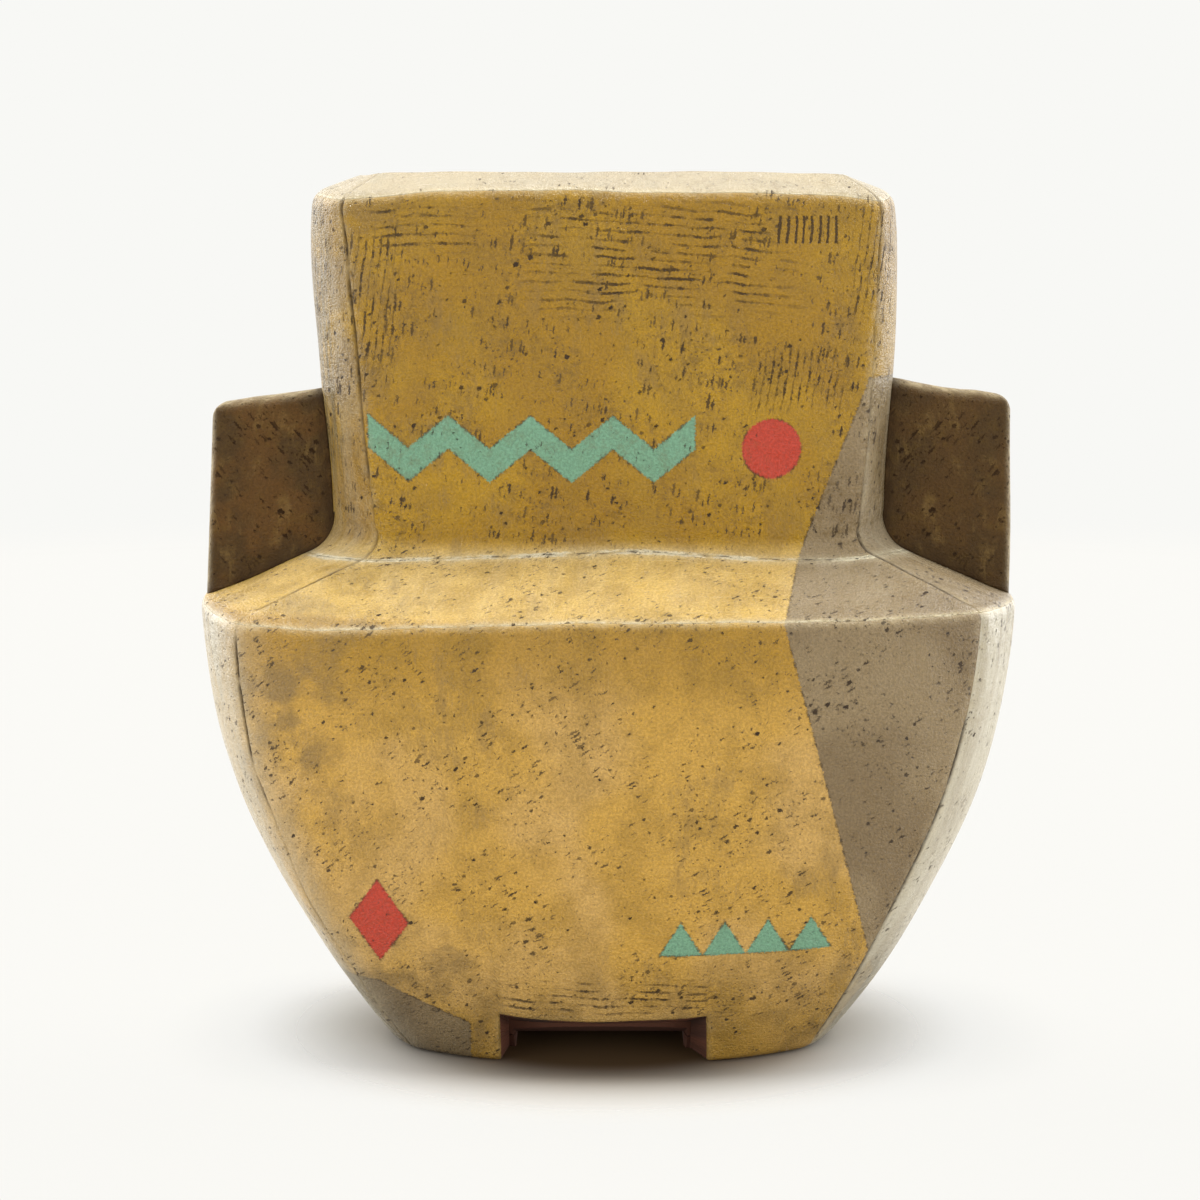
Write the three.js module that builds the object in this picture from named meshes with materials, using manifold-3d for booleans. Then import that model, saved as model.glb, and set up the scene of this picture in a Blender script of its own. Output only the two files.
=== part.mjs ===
// A slab-built ceramic vase: bowed walls that swell from a small foot to a wide shoulder, a sloping
// shoulder, an oblong neck with a lip that turns inward, and a flat fin at each end.
// Every slab was cut from rolled clay and joined to the next at a mitred seam, so every slab is a
// solid of its own here, with a fine seam between neighbours.
// Millimetres, +Z up. The origin is on the ground at the middle of the foot, the front faces -Y and
// the fins point along X.

import * as THREE from 'three';
import { mergeVertices } from 'three/addons/utils/BufferGeometryUtils.js';
import Module from 'manifold-3d';

const wasm = await Module();
wasm.setup();

// Body, measured outside, across the middles of opposite walls. The walls bow out, and a bow is how
// far the corners stand in from the middle of the wall between them.
const baseWidth = 128;
const baseDepth = 80;
const baseEndBow = 8;
const baseFrontBow = 15;
const bellyWidth = 232;
const bellyDepth = 120;
const bellyEndBow = 15;
const bellyFrontBow = 20;
const edgeHeight = 126.5; // ground to the sharp edge of the shoulder
const wallSwell = 2; // power of the outline curve in the middle of a wall
const cornerSwell = 1.75; // the same for the corners, which stay a little leaner
const footWall = 13; // the leaning wall, measured level at the ground
const bodyWall = 9; // the same wall at the shoulder

// Shoulder and neck
const shoulderSlab = 9;
const shoulderRise = 16.5; // from the edge to where the neck's line would meet the shoulder's
const neckFootWidth = 157;
const neckFootDepth = 57;
const neckFootEndBow = 10.5;
const neckFootFrontBow = 7.5;
const neckRise = 97.6; // from there to the lip's outer edge, in the middle of a wall
const rimCornerDrop = 2; // how much lower that edge is at the corners
const rimWidth = 162.4;
const rimDepth = 62;
const rimEndBow = 6.2;
const rimFrontBow = 9;
const neckBulge = 2.1; // how far the end walls swell out
const bulgeShare = 0.75; // the share of the neck's height where they swell most
const neckWall = 8;
const sideCove = 12; // radius between neck and shoulder at the fins
const frontCove = 5; // the same at front and back
const cornerCove = 8; // and at the corners

// Lip and mouth
const lipSlab = 7;
const lipRise = 5; // from the lip's outer edge to the mouth
const mouthCornerRise = 0.8; // how far the mouth's corners stand above its long sides
const mouthWidth = 132;
const mouthDepth = 30;
const mouthEndBow = 2.5;
const mouthFrontBow = 2;

// Floor and feet, with the notch that is cut through the foot at front and back
const floorSlab = 10;
const floorHeight = 4; // ground to the underside of the floor
const notchWidth = 57.6; // at the outer face of the wall
const notchHeight = 15;
const notchShift = -2; // the notches were cut a little left of the middle
const notchRun = 24; // how far the bevelled cut goes in before the straight channel
const channelWidth = 47.6; // between the two feet

// Fins
const finInsetLeft = 4.5; // from the widest part of the shoulder in to each fin's outer edge
const finInsetRight = 1.5;
const finRise = 56.3; // from the shoulder's edge to the fin's top, at its outer end
const finTopRise = 4.8; // how much higher the top edge is at the neck
const finThickness = 10;
const finCorner = 6; // radius of the outer top corner
const finEdgeSetback = 1.5; // how far the fin's foot stays inside the shoulder's edge

// Fit
const seam = 0.36; // between slabs, measured upright or along a wall
const finSeam = 0.3; // between a fin and what it stands on
const frontBowPower = 2.5; // how the front and back walls curve in plan
const endBowPower = 2; // the same for the end walls
const sameVertex = 1e-4; // vertices closer than this are one
const cutterReach = 12; // how far a cutter runs past what it cuts

const stepsAcross = 10; // facets across a slab
const bodySteps = 8; // facets up a body wall
const coveSteps = 4; // facets in the cove at the neck's foot
const neckSteps = 6; // facets up the neck above the cove
const shoulderSteps = 5; // facets down the shoulder
const lipSteps = 4; // facets across the lip
const floorSteps = 2; // facets up the edge of the floor
const cornerFacets = 5; // facets in a fin's rounded corner

// Heights above the ground
const neckFootHeight = edgeHeight + shoulderRise;
const rimHeight = neckFootHeight + neckRise;
const mouthHeight = rimHeight + lipRise;
const finOuterHeight = edgeHeight + finRise;
const finInnerHeight = finOuterHeight + finTopRise;

// The slabs of one storey, by the direction that they face, in quarter turns from the front
const walls = ['front', 'right', 'back', 'left'];

// One level of the vessel's surface. It has four like quarters, so it is given by its corner, by the
// middle of an end wall and by the middle of the front wall, each with its own height.
function ring(cornerX, cornerY, cornerZ, endX, endZ, frontY, frontZ) {
  return { cornerX, cornerY, cornerZ, endX, endZ, frontY, frontZ };
}

// A ring a share of the way from one ring to another
function between(from, to, share) {
  const result = {};
  for (const key of Object.keys(from)) {
    result[key] = from[key] + (to[key] - from[key]) * share;
  }
  return result;
}

// The same ring drawn in by a distance on all sides and moved up by a rise
function moved(level, inward, rise) {
  return ring(
    level.cornerX - inward,
    level.cornerY - inward,
    level.cornerZ + rise,
    level.endX - inward,
    level.endZ + rise,
    level.frontY - inward,
    level.frontZ + rise,
  );
}

// A row of rings from one ring to another
function rowOfRings(from, to, steps) {
  return Array.from({ length: steps + 1 }, (_, index) => between(from, to, index / steps));
}

// A point on a ring: t runs from -1 to 1 across the wall that faces the given quarter turn, and
// trim shortens the wall at each end
function pointOnWall(level, quarter, t, trim) {
  const facesFront = quarter % 2 === 0;
  const halfWidth = facesFront ? level.cornerX : level.cornerY;
  const cornerOut = facesFront ? level.cornerY : level.cornerX;
  const middleOut = facesFront ? level.frontY : level.endX;
  const middleZ = facesFront ? level.frontZ : level.endZ;
  const power = facesFront ? frontBowPower : endBowPower;
  const along = t * (halfWidth - trim);
  const out = middleOut - (middleOut - cornerOut) * Math.abs(t) ** power;
  const z = middleZ - (middleZ - level.cornerZ) * t * t;
  const upright = new THREE.Vector3(0, 0, 1);
  return new THREE.Vector3(along, -out, z).applyAxisAngle(upright, quarter * Math.PI / 2);
}

// A slab between a row of outer rings and a row of inner rings: a box whose width runs across the
// wall, whose height runs up the rows and whose depth is the clay
function slabGeometry(quarter, outerRings, innerRings) {
  const rows = outerRings.length - 1;
  const box = new THREE.BoxGeometry(2, rows, 1, stepsAcross, rows, 1);
  const position = box.getAttribute('position');
  for (let index = 0; index < position.count; index += 1) {
    const row = Math.round(position.getY(index) + rows / 2);
    const rings = position.getZ(index) > 0 ? outerRings : innerRings;
    const point = pointOnWall(rings[row], quarter, position.getX(index), seam / 2);
    position.setXYZ(index, point.x, point.y, point.z);
  }
  return box;
}

// A solid that fills the whole vessel between the first ring and the last
function filledGeometry(rings) {
  const rows = rings.length - 1;
  const around = walls.length * stepsAcross;
  const drum = new THREE.CylinderGeometry(1, 1, rows, around, rows);
  const position = drum.getAttribute('position');
  for (let index = 0; index < position.count; index += 1) {
    const x = position.getX(index);
    const z = position.getZ(index);
    const level = rings[Math.round(position.getY(index) + rows / 2)];
    const radius = Math.hypot(x, z);
    const turns = Math.atan2(x, z) / (Math.PI / 2);
    const quarter = Math.round(turns);
    const point = pointOnWall(level, (quarter + walls.length) % walls.length, (turns - quarter) * 2, 0);
    position.setXYZ(index, point.x * radius, point.y * radius, point.z);
  }
  return drum;
}

// A geometry as a solid for cutting, and back again
function toSolid(geometry) {
  const bare = geometry.clone();
  bare.deleteAttribute('normal');
  bare.deleteAttribute('uv');
  const merged = mergeVertices(bare, sameVertex);
  return new wasm.Manifold(new wasm.Mesh({
    numProp: 3,
    vertProperties: new Float32Array(merged.getAttribute('position').array),
    triVerts: new Uint32Array(merged.getIndex().array),
  }));
}

function toGeometry(solid) {
  const mesh = solid.getMesh();
  const geometry = new THREE.BufferGeometry();
  geometry.setAttribute('position', new THREE.BufferAttribute(mesh.vertProperties, 3));
  geometry.setIndex(new THREE.BufferAttribute(mesh.triVerts, 1));
  geometry.computeVertexNormals();
  return geometry;
}

function boxSolid(minimum, maximum) {
  const size = new THREE.Vector3().subVectors(maximum, minimum);
  const middle = new THREE.Vector3().addVectors(maximum, minimum).multiplyScalar(0.5);
  const box = new THREE.BoxGeometry(size.x, size.y, size.z);
  box.translate(middle.x, middle.y, middle.z);
  return toSolid(box);
}

// The body's outer surface at a height: an outline that is upright at the shoulder and leans in
// towards the foot
function bodyRing(z) {
  const left = 1 - z / edgeHeight;
  const swelled = (base, belly, power) => (belly - (belly - base) * left ** power) / 2;
  return ring(
    swelled(baseWidth - 2 * baseEndBow, bellyWidth - 2 * bellyEndBow, cornerSwell),
    swelled(baseDepth - 2 * baseFrontBow, bellyDepth - 2 * bellyFrontBow, wallSwell),
    z,
    swelled(baseWidth, bellyWidth, wallSwell),
    z,
    swelled(baseDepth, bellyDepth, wallSwell),
    z,
  );
}

// The body's inner surface: the wall thins evenly from the foot to the shoulder
function bodyInnerRing(z) {
  const wall = footWall + (bodyWall - footWall) * z / edgeHeight;
  return moved(bodyRing(z), wall, 0);
}

// How far up the neck a height lies, from 0 at its foot to 1 at the rim
function neckShare(z, top) {
  return (z - neckFootHeight) / (top - neckFootHeight);
}

// A swell that is nothing at the foot and at the rim and highest at bulgeShare
function swellAt(share) {
  return share ** (bulgeShare / (1 - bulgeShare)) * (1 - share);
}

// The neck's outer surface at given heights for its corners, its ends and its front
function neckRing(cornerZ, endZ, frontZ) {
  const cornerShare = neckShare(cornerZ, rimHeight - rimCornerDrop);
  const endShare = neckShare(endZ, rimHeight);
  const frontShare = neckShare(frontZ, rimHeight);
  const bulge = neckBulge * swellAt(endShare) / swellAt(bulgeShare);
  const grown = (foot, top, share) => foot + (top - foot) * share;
  const endBow = grown(neckFootEndBow, rimEndBow, cornerShare);
  const frontBow = grown(neckFootFrontBow, rimFrontBow, cornerShare);
  return ring(
    grown(neckFootWidth, rimWidth, cornerShare) / 2 - endBow,
    grown(neckFootDepth, rimDepth, cornerShare) / 2 - frontBow,
    cornerZ,
    grown(neckFootWidth, rimWidth, endShare) / 2 + bulge,
    endZ,
    grown(neckFootDepth, rimDepth, frontShare) / 2,
    frontZ,
  );
}

// Shoulder slope, from the run and the rise at the fins
const shoulderAngle = Math.atan2(neckFootHeight - edgeHeight, (bellyWidth - neckFootWidth) / 2);
const lipAngle = Math.atan2(mouthHeight - rimHeight, (rimWidth - mouthWidth) / 2);

// How far a mitred seam drops from its outer to its inner edge, where an upright wall meets a
// sloping slab
function mitreDrop(wall, slab, angle) {
  return slab / Math.cos(angle) - wall * Math.tan(angle);
}
const edgeDrop = mitreDrop(bodyWall, shoulderSlab, shoulderAngle);
const neckDrop = mitreDrop(neckWall, shoulderSlab, shoulderAngle);
const lipDrop = mitreDrop(neckWall, lipSlab, lipAngle);
const lipUpright = lipSlab / Math.cos(lipAngle);

// The cove between neck and shoulder: an arc that leaves the neck at turned = 0 and meets the
// shoulder's slope at turned = coveTurn
const coveTurn = Math.PI / 2 - shoulderAngle;
function coveHeight(radius, turned) {
  return neckFootHeight + radius * (Math.tan(coveTurn / 2) - Math.sin(turned));
}

function coveRing(turned) {
  const plain = neckRing(neckFootHeight, neckFootHeight, neckFootHeight);
  const flare = 1 - Math.cos(turned);
  return ring(
    plain.cornerX + cornerCove * flare,
    plain.cornerY + cornerCove * flare,
    coveHeight(cornerCove, turned),
    plain.endX + sideCove * flare,
    coveHeight(sideCove, turned),
    plain.frontY + frontCove * flare,
    coveHeight(frontCove, turned),
  );
}

// The rings where slabs meet
const edgeRing = bodyRing(edgeHeight);
const edgeInnerRing = moved(edgeRing, bodyWall, -edgeDrop);
const neckFootRing = coveRing(coveTurn);
const neckFootPlainRing = neckRing(neckFootHeight, neckFootHeight, neckFootHeight);
const neckFootInnerRing = moved(neckFootPlainRing, neckWall, -neckDrop);
const rimRing = neckRing(rimHeight - rimCornerDrop, rimHeight, rimHeight);
const rimInnerRing = moved(rimRing, neckWall, -lipDrop);
const mouthRing = ring(
  mouthWidth / 2 - mouthEndBow,
  mouthDepth / 2 - mouthFrontBow,
  mouthHeight + mouthCornerRise,
  mouthWidth / 2,
  mouthHeight,
  mouthDepth / 2,
  mouthHeight,
);
const mouthInnerRing = moved(mouthRing, 0, -lipUpright);

// The rows of rings of each storey
function bodyRows() {
  const outerTop = edgeHeight - seam / 2;
  const innerTop = edgeHeight - edgeDrop - seam / 2;
  const outer = [];
  const inner = [];
  for (let step = 0; step <= bodySteps; step += 1) {
    outer.push(bodyRing(outerTop * step / bodySteps));
    inner.push(bodyInnerRing(innerTop * step / bodySteps));
  }
  inner[bodySteps] = moved(edgeInnerRing, 0, -seam / 2);
  return { outer, inner };
}

function shoulderRows() {
  return {
    outer: rowOfRings(moved(edgeRing, 0, seam / 2), moved(neckFootRing, 0, -seam / 2), shoulderSteps),
    inner: rowOfRings(
      moved(edgeInnerRing, 0, seam / 2),
      moved(neckFootInnerRing, 0, -seam / 2),
      shoulderSteps,
    ),
  };
}

// The neck's outer rings from the foot of the cove to the rim
function neckOuterRings() {
  const rings = [];
  for (let step = 0; step < coveSteps; step += 1) {
    rings.push(coveRing(coveTurn * (1 - step / coveSteps)));
  }
  const start = coveRing(0);
  for (let step = 0; step <= neckSteps; step += 1) {
    const level = between(start, rimRing, step / neckSteps);
    rings.push(neckRing(level.cornerZ, level.endZ, level.frontZ));
  }
  return rings;
}

function neckRows() {
  const outer = neckOuterRings();
  const last = outer.length - 1;
  const inner = outer.map((level) => {
    const share = (level.endZ - outer[0].endZ) / (outer[last].endZ - outer[0].endZ);
    const line = between(neckFootInnerRing, rimInnerRing, share);
    const swollen = neckRing(line.cornerZ, line.endZ, line.frontZ);
    return moved(swollen, neckWall, 0);
  });
  inner[0] = neckFootInnerRing;
  outer[0] = moved(outer[0], 0, seam / 2);
  inner[0] = moved(inner[0], 0, seam / 2);
  outer[last] = moved(outer[last], 0, -seam / 2);
  inner[last] = moved(inner[last], 0, -seam / 2);
  return { outer, inner };
}

function lipRows() {
  return {
    outer: rowOfRings(moved(rimRing, 0, seam / 2), mouthRing, lipSteps),
    inner: rowOfRings(moved(rimInnerRing, 0, seam / 2), mouthInnerRing, lipSteps),
  };
}

// The cutter of one notch: wide and high at the outer face, narrow and low where it meets the
// channel between the feet. It carries the same slopes on past the face.
function notchSolid(facing) {
  const face = bodyRing(notchHeight).frontY;
  const carriedOn = (outer, inner) => outer + (outer - inner) * cutterReach / notchRun;
  const width = carriedOn(notchWidth, channelWidth);
  const height = carriedOn(notchHeight, floorHeight);
  const box = new THREE.BoxGeometry(1, 1, 1);
  const position = box.getAttribute('position');
  for (let index = 0; index < position.count; index += 1) {
    const isOuter = position.getY(index) > 0;
    const isTop = position.getZ(index) > 0;
    const across = position.getX(index) * (isOuter ? width : channelWidth);
    const out = isOuter ? face + cutterReach : face - notchRun;
    const top = isOuter ? height : floorHeight;
    position.setXYZ(index, across, out, isTop ? top : -cutterReach);
  }
  if (facing < 0) {
    box.rotateZ(Math.PI);
  }
  box.translate(notchShift, 0, 0);
  return toSolid(box);
}

function notched(geometry) {
  return toGeometry(toSolid(geometry).subtract(notchSolid(-1)).subtract(notchSolid(1)));
}

// The floor lies inside the walls and takes the end of the bevelled notches
function floorGeometry() {
  const rings = rowOfRings(
    moved(bodyInnerRing(floorHeight), seam, 0),
    moved(bodyInnerRing(floorHeight + floorSlab), seam, 0),
    floorSteps,
  );
  return notched(filledGeometry(rings));
}

// A foot is a low pad under the floor, between the channel and the walls
function footGeometry(sideSign) {
  const top = floorHeight - seam;
  const pad = filledGeometry([
    moved(bodyInnerRing(0), seam, 0),
    moved(bodyInnerRing(top), seam, 0),
  ]);
  const innerX = sideSign * channelWidth / 2 + notchShift;
  const outerX = sideSign * bellyWidth;
  const keep = boxSolid(
    new THREE.Vector3(Math.min(innerX, outerX), -bellyDepth, -cutterReach),
    new THREE.Vector3(Math.max(innerX, outerX), bellyDepth, floorHeight + cutterReach),
  );
  const solid = toSolid(pad).intersect(keep).subtract(notchSolid(-1)).subtract(notchSolid(1));
  return toGeometry(solid);
}

// A fin is a flat slab whose inner edge follows the neck and the shoulder
function finGeometry(sideSign, inset) {
  const outer = bellyWidth / 2 - inset;
  const inner = neckFootWidth / 2 - neckWall;
  const slope = (finInnerHeight - finOuterHeight) / (outer - inner);
  const foot = edgeHeight; // below the sloping shoulder, so the cut shapes the whole foot
  const shape = new THREE.Shape();
  shape.moveTo(inner, foot);
  shape.lineTo(bellyWidth / 2 - finEdgeSetback, foot);
  shape.lineTo(outer, finOuterHeight - finCorner);
  shape.quadraticCurveTo(outer, finOuterHeight, outer - finCorner, finOuterHeight + slope * finCorner);
  shape.lineTo(inner, finInnerHeight);
  shape.closePath();
  const blank = new THREE.ExtrudeGeometry(shape, {
    depth: finThickness,
    bevelEnabled: false,
    curveSegments: cornerFacets,
  });
  blank.rotateX(Math.PI / 2);
  blank.translate(0, finThickness / 2, 0);
  const envelope = filledGeometry([
    bodyRing(edgeHeight / 2),
    edgeRing,
    ...neckOuterRings(),
  ].map((level, index) => moved(level, -finSeam, index === 0 ? 0 : finSeam)));
  if (sideSign < 0) {
    blank.rotateZ(Math.PI);
  }
  return toGeometry(toSolid(blank).subtract(toSolid(envelope)));
}

// Fired surfaces: colour, roughness and metalness
const ochreGlaze = () => new THREE.MeshStandardMaterial({ color: 0xb08b42, roughness: 0.42, metalness: 0 });
const taupeGlaze = () => new THREE.MeshStandardMaterial({ color: 0x75604a, roughness: 0.5, metalness: 0 });
const bareClay = () => new THREE.MeshStandardMaterial({ color: 0x7a4a3a, roughness: 0.85, metalness: 0 });

const vase = new THREE.Group();

function addPiece(name, geometry, material) {
  const mesh = new THREE.Mesh(geometry, material);
  mesh.name = name;
  vase.add(mesh);
}

const storeys = [
  { name: 'body', rows: bodyRows() },
  { name: 'shoulder', rows: shoulderRows() },
  { name: 'neck', rows: neckRows() },
  { name: 'lip', rows: lipRows() },
];

for (const storey of storeys) {
  walls.forEach((wall, quarter) => {
    const slab = slabGeometry(quarter, storey.rows.outer, storey.rows.inner);
    const hasNotch = storey.name === 'body' && quarter % 2 === 0;
    addPiece(`${storey.name}_${wall}`, hasNotch ? notched(slab) : slab, ochreGlaze());
  });
}

addPiece('base_floor', floorGeometry(), bareClay());
addPiece('foot_left', footGeometry(-1), bareClay());
addPiece('foot_right', footGeometry(1), bareClay());
addPiece('fin_left', finGeometry(-1, finInsetLeft), taupeGlaze());
addPiece('fin_right', finGeometry(1, finInsetRight), taupeGlaze());

export default vase;
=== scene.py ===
# A slab-built ceramic vase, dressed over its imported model.
# Sizes in the dictionaries are millimetres; they become metres when a surface becomes a mesh.
# The front faces -Y and the fins point along X.
import math

import bpy
import numpy as np
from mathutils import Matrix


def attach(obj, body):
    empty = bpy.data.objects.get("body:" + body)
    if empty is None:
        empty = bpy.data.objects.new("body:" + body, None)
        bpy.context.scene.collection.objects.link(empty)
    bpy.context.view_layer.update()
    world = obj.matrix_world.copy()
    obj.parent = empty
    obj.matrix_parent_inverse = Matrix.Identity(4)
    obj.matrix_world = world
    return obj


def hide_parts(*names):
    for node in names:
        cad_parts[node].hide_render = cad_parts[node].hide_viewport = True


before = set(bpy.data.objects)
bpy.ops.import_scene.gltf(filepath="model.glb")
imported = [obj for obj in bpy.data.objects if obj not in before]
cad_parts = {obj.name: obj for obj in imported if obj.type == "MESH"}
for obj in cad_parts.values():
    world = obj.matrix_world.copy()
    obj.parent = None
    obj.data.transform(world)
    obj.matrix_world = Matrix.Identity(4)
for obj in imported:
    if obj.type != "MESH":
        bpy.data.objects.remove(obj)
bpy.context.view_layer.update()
metresPerMm = 0.001
print("frame loaded with", len(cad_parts), "nodes")

camera = {
    "lens": 84, "sensor": 36,  # mm
    "right": -2.0,
    "distance": 800.0,  # to the vase's axis, along the view
    "height": 244.3,
    "lookDown": 8.57,  # degrees
    "farthest": 50,  # m
}


def addCamera():
    data = bpy.data.cameras.new("camera")
    data.lens = camera["lens"]
    data.sensor_width = camera["sensor"]
    data.clip_end = camera["farthest"]
    eye = bpy.data.objects.new("camera", data)
    lookDown = math.radians(camera["lookDown"])
    away = camera["distance"] * math.cos(lookDown)
    eye.location = np.array([camera["right"], -away, camera["height"]]) * metresPerMm
    eye.rotation_euler = (math.pi / 2 - lookDown, 0, 0)
    bpy.context.scene.collection.objects.link(eye)
    bpy.context.scene.camera = eye


addCamera()
print("camera placed")

# The vessel's surface at one height is a level, a row of seven numbers: its corner (x, y, z), the
# middle of an end wall (x, z) and the middle of the front wall (y, z)
cornerXAt, cornerYAt, cornerZAt, endXAt, endZAt, frontYAt, frontZAt = range(7)


# Levels from their seven numbers, each one value or one for every level
def levelRows(*numbers):
    return np.stack(np.broadcast_arrays(*numbers), axis=-1).astype(float)


# Levels drawn in on all sides and moved up
def movedLevels(levels, inward, rise):
    return levels + levelRows(-inward, -inward, rise, -inward, rise, -inward, rise)


# Levels in a straight run, at the given shares of the way
def levelsBetween(first, last, shares):
    return first + (last - first) * np.asarray(shares)[:, None]


# Levels round a soft edge: (1-s)^2 first + 2s(1-s) sharp + s^2 last
def levelsRound(first, sharp, last, shares):
    shares = np.asarray(shares)[:, None]
    return (1 - shares) ** 2 * first + 2 * shares * (1 - shares) * sharp + shares ** 2 * last


# An eased step: 3v^2 - 2v^3, with v held between 0 and 1
def smooth(value):
    value = np.clip(value, 0, 1)
    return value * value * (3 - 2 * value)


# Shares after the start, so that two stretches join without a doubled row
def sharesTo(count, start=0.0, end=1.0):
    return start + (end - start) * np.arange(1, count + 1) / count


body = {
    "baseWidth": 128, "baseDepth": 80, "baseEndBow": 8, "baseFrontBow": 15,
    "bellyWidth": 232, "bellyDepth": 120, "bellyEndBow": 15, "bellyFrontBow": 20,
    "edgeHeight": 126.5,
    "wallSwell": 2, "cornerSwell": 1.75,  # how the outline curves in towards the foot
    "footWall": 13, "bodyWall": 9,
    "footRound": 2.6, "edgeRound": 3.2,
    "wallRows": 112, "footRows": 8, "edgeRows": 9,
}

neck = {
    "shoulderRise": 16.5, "shoulderSlab": 9, "slopeRows": 34,
    "footWidth": 157, "footDepth": 57, "footEndBow": 10.5, "footFrontBow": 7.5,
    "rise": 97.6, "rimCornerDrop": 2,
    "rimWidth": 162.4, "rimDepth": 62, "rimEndBow": 6.2, "rimFrontBow": 9,
    "bulge": 2.1, "bulgeShare": 0.75, "wall": 8,
    "sideCove": 12, "frontCove": 5, "cornerCove": 8,
    "rimRound": 4.0, "coveRows": 16, "wallRows": 96, "rimRows": 9,
}

lip = {
    "rise": 5, "cornerRise": 0.8, "width": 132, "depth": 30, "endBow": 2.5, "frontBow": 2,
    "slab": 7, "mouthRound": 2.4, "slopeRows": 16, "mouthRows": 10, "faceRows": 3,
}

wallShape = {
    "frontPower": 2.5, "endPower": 2,  # how the walls bow in plan
    "cornerRound": 3.6,  # how far the soft corner runs along each wall
    "cornerColumns": 14,
    "cornerCrowding": 1.5,  # how much these columns crowd towards the seam
    "innerCorner": 0.06,  # the share of the inner face's half width that they take
    "seam": 0.36,
    "textureStep": 400,  # the four walls' textures start this far apart
}

neckFootHeight = body["edgeHeight"] + neck["shoulderRise"]
rimHeight = neckFootHeight + neck["rise"]
mouthHeight = rimHeight + lip["rise"]
shoulderRun = (body["bellyWidth"] - neck["footWidth"]) / 2
lipRun = (neck["rimDepth"] - lip["depth"]) / 2
shoulderAngle = math.atan2(neck["shoulderRise"], shoulderRun)
lipAngle = math.atan2(lip["rise"], (neck["rimWidth"] - lip["width"]) / 2)
coveTurn = math.pi / 2 - shoulderAngle


# Body outline: the belly less what it has still to grow, times (height left / edge height) ^ power
def bodyLevels(z):
    z = np.asarray(z, dtype=float)
    left = np.maximum(1 - z / body["edgeHeight"], 0)

    def swelled(base, belly, power):
        return (belly - (belly - base) * left ** power) / 2

    baseCornerX = body["baseWidth"] - 2 * body["baseEndBow"]
    baseCornerY = body["baseDepth"] - 2 * body["baseFrontBow"]
    bellyCornerX = body["bellyWidth"] - 2 * body["bellyEndBow"]
    bellyCornerY = body["bellyDepth"] - 2 * body["bellyFrontBow"]
    endX = swelled(body["baseWidth"], body["bellyWidth"], body["wallSwell"])
    frontY = swelled(body["baseDepth"], body["bellyDepth"], body["wallSwell"])
    cornerX = swelled(baseCornerX, bellyCornerX, body["cornerSwell"])
    cornerY = swelled(baseCornerY, bellyCornerY, body["wallSwell"])
    return levelRows(cornerX, cornerY, z, endX, z, frontY, z)


# The wall thins evenly from the foot to the shoulder
def bodyInnerLevels(z):
    wall = body["footWall"] + (body["bodyWall"] - body["footWall"]) * z / body["edgeHeight"]
    return bodyLevels(z) - levelRows(wall, wall, 0, wall, 0, wall, 0)


# Neck outline: straight from foot to rim, and the end walls swell by share^3 (1 - share)
def neckLevels(cornerZ, endZ, frontZ):
    def shareUp(z, top):
        return (np.asarray(z, dtype=float) - neckFootHeight) / (top - neckFootHeight)

    def swell(share):
        return np.maximum(share, 0) ** (neck["bulgeShare"] / (1 - neck["bulgeShare"])) * (1 - share)

    def grown(size, share):
        foot, rim = neck["foot" + size], neck["rim" + size]
        return foot + (rim - foot) * share

    corner = shareUp(cornerZ, rimHeight - neck["rimCornerDrop"])
    end = shareUp(endZ, rimHeight)
    front = shareUp(frontZ, rimHeight)
    cornerX = grown("Width", corner) / 2 - grown("EndBow", corner)
    cornerY = grown("Depth", corner) / 2 - grown("FrontBow", corner)
    endX = grown("Width", end) / 2 + neck["bulge"] * swell(end) / swell(neck["bulgeShare"])
    return levelRows(cornerX, cornerY, cornerZ, endX, endZ, grown("Depth", front) / 2, frontZ)


# Cove between shoulder and neck: an arc that leaves the neck at turn 0 and the slope at coveTurn
def coveLevels(turns):
    turns = np.asarray(turns, dtype=float)
    plain = neckLevels(neckFootHeight, neckFootHeight, neckFootHeight)
    flare = 1 - np.cos(turns)

    def height(radius):
        return neckFootHeight + radius * (math.tan(coveTurn / 2) - np.sin(turns))

    corner, side, front = neck["cornerCove"], neck["sideCove"], neck["frontCove"]
    return levelRows(
        plain[cornerXAt] + corner * flare, plain[cornerYAt] + corner * flare, height(corner),
        plain[endXAt] + side * flare, height(side),
        plain[frontYAt] + front * flare, height(front),
    )


# How far a mitred seam drops from its outer to its inner edge
def mitreDrop(wall, slab, angle):
    return slab / math.cos(angle) - wall * math.tan(angle)


# The levels where slabs meet
edgeLevel = bodyLevels(body["edgeHeight"])
edgeDrop = mitreDrop(body["bodyWall"], neck["shoulderSlab"], shoulderAngle)
edgeInnerLevel = movedLevels(edgeLevel, body["bodyWall"], -edgeDrop)
neckFootLevel = coveLevels(coveTurn)
neckDrop = mitreDrop(neck["wall"], neck["shoulderSlab"], shoulderAngle)
neckFootInnerLevel = movedLevels(neckLevels(*[neckFootHeight] * 3), neck["wall"], -neckDrop)
rimLevel = neckLevels(rimHeight - neck["rimCornerDrop"], rimHeight, rimHeight)
rimInnerLevel = movedLevels(rimLevel, neck["wall"], -mitreDrop(neck["wall"], lip["slab"], lipAngle))
mouthLevel = levelRows(
    lip["width"] / 2 - lip["endBow"], lip["depth"] / 2 - lip["frontBow"], mouthHeight + lip["cornerRise"],
    lip["width"] / 2, mouthHeight, lip["depth"] / 2, mouthHeight,
)
mouthInnerLevel = movedLevels(mouthLevel, 0, -lip["slab"] / math.cos(lipAngle))

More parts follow.
